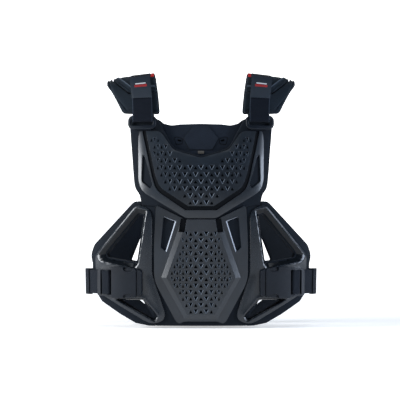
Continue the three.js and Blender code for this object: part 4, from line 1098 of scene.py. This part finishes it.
def stitchPress(points, lines, top):
    # presses sewn lines into the pad's outer side, or raises piping where the depth is negative
    across, along, out = points.T
    for depth, line in lines:
        share = np.exp(-(lineDistance(across, along, line) / padding['stitch']) ** 2)
        points[:, 2] -= depth * share * (out > top)
    return points


def markPiping(piece, lines, top):
    # how far each point belongs to the paler piping, read by the cover's finish
    across, along, out = readPoints(piece).T
    layer = piece.data.attributes.new('piping', 'FLOAT', 'POINT')
    for depth, line in lines:
        if depth < 0:
            share = np.exp(-(lineDistance(across, along, line) / padding['piping']) ** 2)
            layer.data.foreach_set('value', (share * (out > top)).astype(np.float32))


def makePad(name, pad, low, thick, cap, lines):
    piece = prism(name, rounded(padOutline(pad), 4), low + 0.2, low + thick - 0.2)
    swell(piece, cap)
    markPiping(piece, lines, low + thick / 2)
    points = stitchPress(readPoints(piece), lines, low + thick / 2)
    points[:, 2] = np.maximum(points[:, 2], low - 0.2)
    if low == 0:
        # the lower pad stands up round the upper one
        across, along, out = points.T
        upper = padOutline(shoulder['top'])
        beyond = np.where(isInside(across, along, upper), 0, edgeDistance(across, along, upper))
        rise = 1 - np.exp(-(beyond / shoulder['rimWay']) ** 2)
        points[:, 2] += shoulder['rim'] * rise * np.clip(out / thick, 0, 1)
    writePoints(piece, onShoulder(points))
    shadeSmooth(piece, 70)
    return piece


baseLines = [(1.4, [(-28, -99), (33, -99), (60, -62), (66, -26), (67, 16), (34, 88), (-28, 88)])]
topLines = [
    (1.4, [(-28, -57), (23, -57), (51, -20), (55, 0), (51, 14), (23, 58), (-28, 58)]),
    (-1.1, [(-28, -51), (19, -51), (45, -18), (49, 0), (45, 12), (19, 51), (-28, 51)]),
    (1.4, [(-28, -46), (16, -46), (41, -16), (44, 0), (41, 11), (16, 46), (-28, 46)])]
dressBoth(makePad('shoulderPadBaseRight', shoulder['base'], 0, shoulder['basePad'], 1.2, baseLines),
          'shoulder_pad_base', 'pad')
dressBoth(makePad('shoulderPadTopRight', shoulder['top'], shoulder['basePad'] + layers['fit'],
                  shoulder['topPad'], 1.5, topLines), 'shoulder_pad_top', 'pad')
print('shoulder pads done')


def ribbon(name, line, halfWidth, thick, place, edge=0.5, acrossSteps=8):
    # a grid laid along a side view line, with a wall and soft edges
    selectOnly()
    bpy.ops.mesh.primitive_grid_add(x_subdivisions=len(line) - 1, y_subdivisions=acrossSteps, size=0.1)
    piece = bpy.context.object
    piece.name = name
    line = np.array(line, dtype=float)
    count = len(line)
    way = wayAlong(line)
    rows = np.linspace(-halfWidth, halfWidth, acrossSteps + 1)
    points = np.array([(line[i, 0], line[i, 1], row) for row in rows for i in range(count)])
    writePoints(piece, points)
    mapStrap(piece, np.tile(way, len(rows)), np.repeat(rows, count))
    finishWith(piece, 'SOLIDIFY', thickness=thick * mm, offset=0, use_even_offset=True)
    softenEdges(piece, edge, 2, 60)
    writePoints(piece, place(readPoints(piece)))
    editAll(piece)
    bpy.ops.mesh.normals_make_consistent(inside=False)
    objectMode()
    shadeSmooth(piece, 50)
    return piece


def inProfile(points):
    y, z, across = points.T
    return settle(across, y, z)


rearLayer = padsThick + layers['fit'] + shoulder['strapThick'] / 2
frontLayer = rearLayer + shoulder['strapThick'] + layers['fit']


def shoulderStrapLine():
    loop = shoulder['loop']

    def facePoint(up, out, toFront):
        place = onTorso(toFront)(np.array([[shoulder['strapPlace'], up, out]], dtype=float))
        return tuple(place[0, 1:])

    barMiddle = strapLevel + loop['high'] / 2 - loop['rail'] / 2
    barOut = loop['thick'] / 2 + layers['fit']
    away = 2 * layers['fit'] + shoulder['strapThick'] / 2
    sewn = [facePoint(foamTop - below, foamOut + layers['fit'] + shoulder['strapThick'] / 2, False)
            for below in np.linspace(52, 2, 6)]
    rear = [tuple(overShoulder(along, rearLayer)) for along in np.linspace(91, -91, 40)]
    turn = [facePoint(barMiddle - (loop['rail'] / 2 + away * 2) * math.sin(angle),
                      barOut + layers['fit'] / 2 - (loop['thick'] / 2 + away) * math.cos(angle), True)
            for angle in np.linspace(0, math.pi, 13)]
    lift = [facePoint(barMiddle + loop['rail'] / 2, barOut + loop['thick'] / 2 + away, True)]
    front = [tuple(overShoulder(along, frontLayer))
             for along in np.linspace(-93, shoulder['tab']['start'], 16)]
    return sewn + rear + turn + lift + front


strap = ribbon('shoulderStrapRight', shoulderStrapLine(), shoulder['strapWidth'] / 2 - 0.2,
               shoulder['strapThick'], inProfile)
dressBoth(strap, 'shoulder_strap', 'pile')
tabOut = frontLayer + shoulder['strapThick'] / 2 + layers['fit'] + shoulder['tab']['thick'] / 2
tabStart = shoulder['tab']['start']
tabLine = [tuple(overShoulder(along, tabOut))
           for along in np.linspace(tabStart - shoulder['tab']['long'], tabStart + 1, 12)]
tab = ribbon('shoulderTabRight', tabLine, shoulder['strapWidth'] / 2 + 0.4, shoulder['tab']['thick'],
             inProfile, 0.35)
dressBoth(tab, 'shoulder_tab', 'tab')


def makePatch(name, finish, low, high, halfWidth):
    # a plain raised bar sewn to the tab
    level = tabOut + shoulder['tab']['thick'] / 2
    corners = [(-halfWidth, low, 0.6), (halfWidth, low, 0.6), (halfWidth, high, 0.6),
               (-halfWidth, high, 0.6)]
    piece = prism(name, rounded(corners, 3), level - 0.3, level + shoulder['patch']['thick'])
    softenEdges(piece, 0.2, 2)
    slicePiece(piece, 4, 2)
    bendPiece(piece, onShoulder)
    shadeSmooth(piece)
    for one in (piece, twinOf(piece, name.replace('Right', 'Left'))):
        one.data.materials.append(looks[finish])
        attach(one, 'root')


patch = shoulder['patch']
makePatch('redBarRight', 'redBar', patch['middle'] - patch['high'], patch['middle'], patch['wide'] / 2)
paleStart = patch['middle'] + patch['gap']
makePatch('paleBarRight', 'label', paleStart, paleStart + patch['bar'], patch['wide'] / 2 - 2)


def makeRedPull():
    red = shoulder['red']
    inner = -shoulder['strapWidth'] / 2 - red['wide'] - layers['fit']
    low = padsThick + layers['fit']
    outer = inner + red['wide']
    front, back = -red['long'] / 2 - red['forward'], red['long'] / 2 - red['forward']
    corners = [(inner, front, 1.5), (outer, front, 0), (outer, back, 0), (inner, back, 1.5)]
    piece = prism('redPullRight', rounded(corners, 3), low, low + red['thick'])
    softenEdges(piece, 0.4, 2)
    slicePiece(piece, 3, 2)
    across, along, out = readPoints(piece).T
    mapStrap(piece, along, across)
    bendPiece(piece, onShoulder)
    shadeSmooth(piece)
    return piece


dressBoth(makeRedPull(), 'red_pull', 'redWebbing')


def makeLoop():
    loop = shoulder['loop']

    def stadium(width, height, ends):
        half, high = width / 2, height / 2
        corners = [(-half, -high), (half, -high), (half, high), (-half, high)]
        return rounded([(shoulder['strapPlace'] + x, strapLevel + z, high * ends)
                        for x, z in corners], 8)

    ring = prism('shoulderLoopRight', stadium(loop['wide'], loop['high'], 0.95), layers['fit'],
                 loop['thick'] + layers['fit'])
    hole = stadium(loop['wide'] - 2 * loop['bar'], loop['high'] - 2 * loop['rail'], 0.6)
    cut(ring, hole, -2, loop['thick'] + 3)
    softenEdges(ring, 2.1, 4, 50)
    footTop = strapLevel - loop['high'] / 2 + loop['rail']
    foot = [(shoulder['strapPlace'] + share * loop['wide'], footTop + rise) for share, rise in
            ((-.36, -1), (.36, -1), (.3, -loop['rail']), (-.3, -loop['rail']))]
    base = prism('loopFoot', foot, foamOut + layers['fit'], layers['fit'] + 1)
    softenEdges(base, 0.6, 2)
    combine(ring, base, 'UNION')
    slicePiece(ring, 5, 5)
    bendPiece(ring, onFront)
    shadeSmooth(ring, 45)
    return ring


dressBoth(makeLoop(), 'shoulder_loop', 'hardware')
print('shoulder straps done')

# waist strap and buckle

waist = dict(
    buckleMiddle=foamTop - 351, webWidth=50, webThick=1.8, webBend=3, tail=6, lap=62,
    socket=dict(inner=133, body=50, wide=65, thick=11.5, wall=2.4),
    ladder=dict(slot=8, centreBar=6, outerBar=7, low=6.4, high=10.4),
    plug=dict(base=10, wide=57, thick=9, prong=7, clear=0.6, button=13),
    keeper=dict(long=19, wall=1.5),
)


def girthPoint(turn, up):
    halfWidth, front, back = torsoAt(up)
    power = 2 / torso['roundness']
    depth = np.where(turn < math.pi / 2, -front, back)
    return (halfWidth * np.sin(turn) ** power, depth * np.abs(np.cos(turn)) ** power, halfWidth, depth)


girthTurns = np.linspace(0, math.pi, 481)
girthX, girthY = girthPoint(girthTurns, np.full(481, float(waist['buckleMiddle'])))[:2]
girthWay = wayAlong(np.stack([girthX, girthY], axis=1))


def girthAt(across, toFront=True):
    halfWidth = float(torsoAt(np.array([float(waist['buckleMiddle'])]))[0][0])
    share = (across / halfWidth) ** (torso['roundness'] / 2)
    turn = math.asin(share) if toFront else math.pi - math.asin(share)
    return float(np.interp(turn, girthTurns, girthWay))


def onGirth(points):
    along, out, up = points.T
    level = waist['buckleMiddle'] + up
    x, y, halfWidth, depth = girthPoint(np.interp(along, girthWay, girthTurns), level)
    power = torso['roundness'] - 1
    normal = np.stack([(x / halfWidth) ** power / halfWidth,
                       np.abs(y / depth) ** power / np.abs(depth) * np.sign(depth)], axis=1)
    normal /= np.linalg.norm(normal, axis=1)[:, None]
    return np.stack([x + normal[:, 0] * out, y + normal[:, 1] * out, level], axis=1)


ladder, socket, plug = waist['ladder'], waist['socket'], waist['plug']
bodyEnd = socket['inner'] + socket['body']
innerSlotEnd = bodyEnd + ladder['slot']
centreBarEnd = innerSlotEnd + ladder['centreBar']
outerSlotEnd = centreBarEnd + ladder['slot']
ladderEnd = outerSlotEnd + ladder['outerBar']
mainOut = layers['fit'] + waist['webThick'] / 2
tailOut = mainOut + waist['webThick'] + layers['fit']
overBar = ladder['high'] + layers['fit'] + waist['webThick'] / 2
keeperStart = girthAt(wing['inner'] + wing['span']) + 12


def waistLine():
    turnIn = girthAt((bodyEnd + innerSlotEnd) / 2)
    turnOut = girthAt((centreBarEnd + outerSlotEnd) / 2)
    sewnEnd = girthAt(wing['inner'] + wing['span'] - waist['lap'], False)
    main = [(along, mainOut, 0) for along in np.linspace(sewnEnd, girthAt(centreBarEnd), 60)]
    corners = [(turnIn, mainOut), (turnIn, overBar), (turnOut, overBar), (turnOut, tailOut)]
    turns = [corner + (waist['webBend'],) for corner in corners]
    tailEnd = keeperStart + waist['keeper']['long'] + waist['tail']
    tail = [(along, tailOut, 0) for along in np.linspace(girthAt(outerSlotEnd), tailEnd, 18)]
    return rounded(main + turns + tail, 5)


strap = ribbon('waistStrapRight', waistLine(), waist['webWidth'] / 2, waist['webThick'], onGirth, 0.4)
dressBoth(strap, 'waist_strap', 'webbing')


def makeKeeper():
    keep = waist['keeper']
    half = waist['webWidth'] / 2 + layers['fit']
    low = mainOut - waist['webThick'] / 2 - layers['fit']
    high = tailOut + waist['webThick'] / 2 + layers['fit']

    def box(name, grow, start, end):
        outline = [(keeperStart + start, low - grow), (keeperStart + end, low - grow),
                   (keeperStart + end, high + grow), (keeperStart + start, high + grow)]
        return prism(name, outline, -half - grow, half + grow)

    piece = box('strapKeeperRight', keep['wall'], 0, keep['long'])
    combine(piece, box('keeperCut', 0, -2, keep['long'] + 2))
    softenEdges(piece, 0.5, 2)
    slicePiece(piece, 3, 30)
    points = readPoints(piece)
    mapStrap(piece, points[:, 2], points[:, 0])
    writePoints(piece, onGirth(points))
    shadeSmooth(piece)
    return piece


dressBoth(makeKeeper(), 'strap_keeper', 'webbing')


def level(rows, half):
    return [(x, waist['buckleMiddle'] + share * half, r) for x, share, r in rows]


def makeSocket():
    half = socket['wide'] / 2
    middle = waist['buckleMiddle']
    body = prism('buckleSocketRight', rounded(level([
        (socket['inner'], -.86, 4), (socket['inner'] + 8, -1, 6), (bodyEnd, -1, 3), (bodyEnd, 1, 3),
        (socket['inner'] + 8, 1, 6), (socket['inner'], .86, 4)], half)), layers['fit'], socket['thick'])
    hollowHalf = half - socket['wall']
    mouth, end = socket['inner'] - 2, bodyEnd - socket['wall']
    hollow = [(mouth, middle - hollowHalf), (end, middle - hollowHalf),
              (end, middle + hollowHalf), (mouth, middle + hollowHalf)]
    cut(body, hollow, layers['fit'] + socket['wall'], socket['thick'] - socket['wall'])
    for up in (1, -1):
        x, edge = socket['inner'] + 16, middle + up * half
        points = [(x - 11, edge + up * 3, 0), (x - 9, edge - up * 9, 7), (x + 9, edge - up * 9, 7),
                  (x + 11, edge + up * 3, 0)]
        cut(body, rounded(points, 6), -1, socket['thick'] + 2)
    softenEdges(body, 0.9, 3, 50)
    outline = level([(bodyEnd - 2, -.94, 0), (ladderEnd, -.88, 5), (ladderEnd, .88, 5),
                     (bodyEnd - 2, .94, 0)], half)
    rails = prism('ladder', rounded(outline), ladder['low'], ladder['high'])
    slotHalf = waist['webWidth'] / 2 + 1
    for start, end in ((bodyEnd, innerSlotEnd), (centreBarEnd, outerSlotEnd)):
        slot = [(start, middle - slotHalf, 1.5), (end, middle - slotHalf, 1.5),
                (end, middle + slotHalf, 1.5), (start, middle + slotHalf, 1.5)]
        cut(rails, rounded(slot, 3), ladder['low'] - 1, ladder['high'] + 1)
    softenEdges(rails, 0.9, 3, 50)
    body = joinUp([body, rails])
    slicePiece(body, 6, 12)
    bendPiece(body, onFront)
    shadeSmooth(body, 40)
    return body


def makePlug():
    half = plug['wide'] / 2
    middle = waist['buckleMiddle']
    mouth = socket['inner'] - plug['clear']
    start = mouth - plug['base']
    outline = [(start, middle - half * .9, 5), (mouth, middle - half, 2), (mouth, middle + half, 2),
               (start, middle + half * .9, 5)]
    base = prism('bucklePlugRight', rounded(outline), layers['fit'], plug['thick'] + layers['fit'])
    softenEdges(base, 1.8, 4, 50)
    armLow = layers['fit'] + socket['wall'] + plug['clear']
    armHigh = socket['thick'] - socket['wall'] - plug['clear']
    reach = socket['inner'] + 16
    for up in (1, -1):
        outer = middle + up * (socket['wide'] / 2 - socket['wall'] - plug['clear'] * 2)
        inner = outer - up * plug['prong']
        start, end = reach - plug['button'] / 2, reach + plug['button'] / 2
        arm = [(mouth - 2, outer), (end + 5, outer), (end + 1, inner), (mouth - 2, inner)]
        add(base, arm, armLow, armHigh)
        low, high = outer - up * 1.02, outer + up * 2.4
        knob = rounded([(start, low, 3), (end, low, 3), (end - 2, high, 3), (start + 2, high, 3)])
        add(base, knob, armLow + 0.05, armHigh - 0.05)
    end = bodyEnd - socket['wall'] - 6
    guide = [(mouth - 2, middle - 3), (end, middle - 3), (end, middle + 3), (mouth - 2, middle + 3)]
    add(base, guide, armLow + 0.1, armHigh - 0.1)
    slicePiece(base, 6, 12)
    bendPiece(base, onFront)
    shadeSmooth(base, 40)
    return base


dressBoth(makeSocket(), 'buckle_socket', 'hardware')
dressBoth(makePlug(), 'buckle_plug', 'hardware')
print('waist straps and buckles done')

# studio: pale floor that turns up into a backdrop, soft lights, camera

studio = dict(
    floorLevel=-0.52, floorHalf=3.4, floorFront=-5.5, wallAt=5.6, wallHigh=3.2,
    bend=0.8, bendSteps=12, cameraPlace=(-0.0021, -4.09, -0.2516), lens=171.4,
    world=0.12, paper='b0b0b0', key=112, fill=74, top=16, front=1,
)


def makeBackdrop():
    selectOnly()
    bpy.ops.mesh.primitive_plane_add(size=2, location=(0, 0, 0))
    floor = bpy.context.object
    floor.name = 'paleFloor'
    half, level, wallAt = studio['floorHalf'], studio['floorLevel'], studio['wallAt']
    corners = [(x, y, level) for y in (studio['floorFront'], wallAt) for x in (-half, half)]
    writePoints(floor, np.array(corners) / mm)
    editAll(floor)
    bpy.ops.mesh.select_all(action='DESELECT')
    objectMode()
    floor.data.vertices[2].select = True
    floor.data.vertices[3].select = True
    bpy.ops.object.mode_set(mode='EDIT')
    bpy.ops.mesh.select_mode(type='VERT')
    radius, steps = studio['bend'], studio['bendSteps']
    for step in range(steps):
        low, high = step / steps * math.pi / 2, (step + 1) / steps * math.pi / 2
        bpy.ops.mesh.extrude_region_move(TRANSFORM_OT_translate={'value': (
            0, radius * (math.sin(high) - math.sin(low)), radius * (math.cos(low) - math.cos(high)))})
    bpy.ops.mesh.extrude_region_move(TRANSFORM_OT_translate={'value': (0, 0, studio['wallHigh'])})
    objectMode()
    look = Look('palePaper', Specular_IOR_Level=0.2)
    speckle = look.noise(40, 3)
    away = look.node('ShaderNodeSeparateXYZ', None, {0: look.place()})[1]
    glow = look.mix(look.rescale(away, 0.5, 2.2, 0, 1), colour(studio['paper']), (1, 1, 1, 1))
    floor.data.materials.append(look.finish(
        Base_Color=look.mix(speckle, colour('f4f4f4'), colour('fbfbfb')),
        Roughness=0.85 + speckle * 0.05, Emission_Color=glow))
    look.shader.inputs['Emission Strength'].default_value = 1
    shadeSmooth(floor, 60)


def addLight(name, place, aim, size, power, tint):
    bpy.ops.object.light_add(type='AREA', location=place)
    lamp = bpy.context.object
    lamp.name = name
    lamp.data.shape = 'RECTANGLE'
    lamp.data.size, lamp.data.size_y = size
    lamp.data.energy = power
    lamp.data.color = tint
    towards = np.array(aim) - np.array(place)
    flat = math.hypot(towards[0], towards[1])
    lamp.rotation_euler = (math.pi / 2 - math.atan2(-towards[2], flat), 0,
                           math.atan2(towards[1], towards[0]) - math.pi / 2)


makeBackdrop()
aim = (0, 0, -0.25)
addLight('keyLeft', (-2.75, -0.75, 0.5), aim, (1.0, 1.7), studio['key'], (0.93, 0.96, 1.0))
addLight('fillRight', (2.75, -0.75, 0.2), aim, (0.9, 1.7), studio['fill'], (0.72, 0.82, 1.0))
addLight('overhead', (0, -1.2, 2.0), aim, (2.0, 1.0), studio['top'], (0.85, 0.92, 1.0))
addLight('frontSoft', (-1.4, -3.2, 1.2), aim, (1.6, 1.6), studio['front'], (0.8, 0.9, 1.0))

world = bpy.data.worlds.new('studioAir')
bpy.context.scene.world = world
world.use_nodes = True
world.node_tree.nodes['Background'].inputs['Color'].default_value = (0.7, 0.85, 1.0, 1.0)
world.node_tree.nodes['Background'].inputs['Strength'].default_value = studio['world']

bpy.ops.object.camera_add(location=studio['cameraPlace'], rotation=(math.pi / 2, 0, 0))
camera = bpy.context.object
camera.data.lens = studio['lens']
camera.data.sensor_width = 36
camera.data.clip_end = 50
bpy.context.scene.camera = camera
bpy.context.scene.view_settings.view_transform = 'Standard'
bpy.context.scene.view_settings.look = 'None'
print('studio ready')
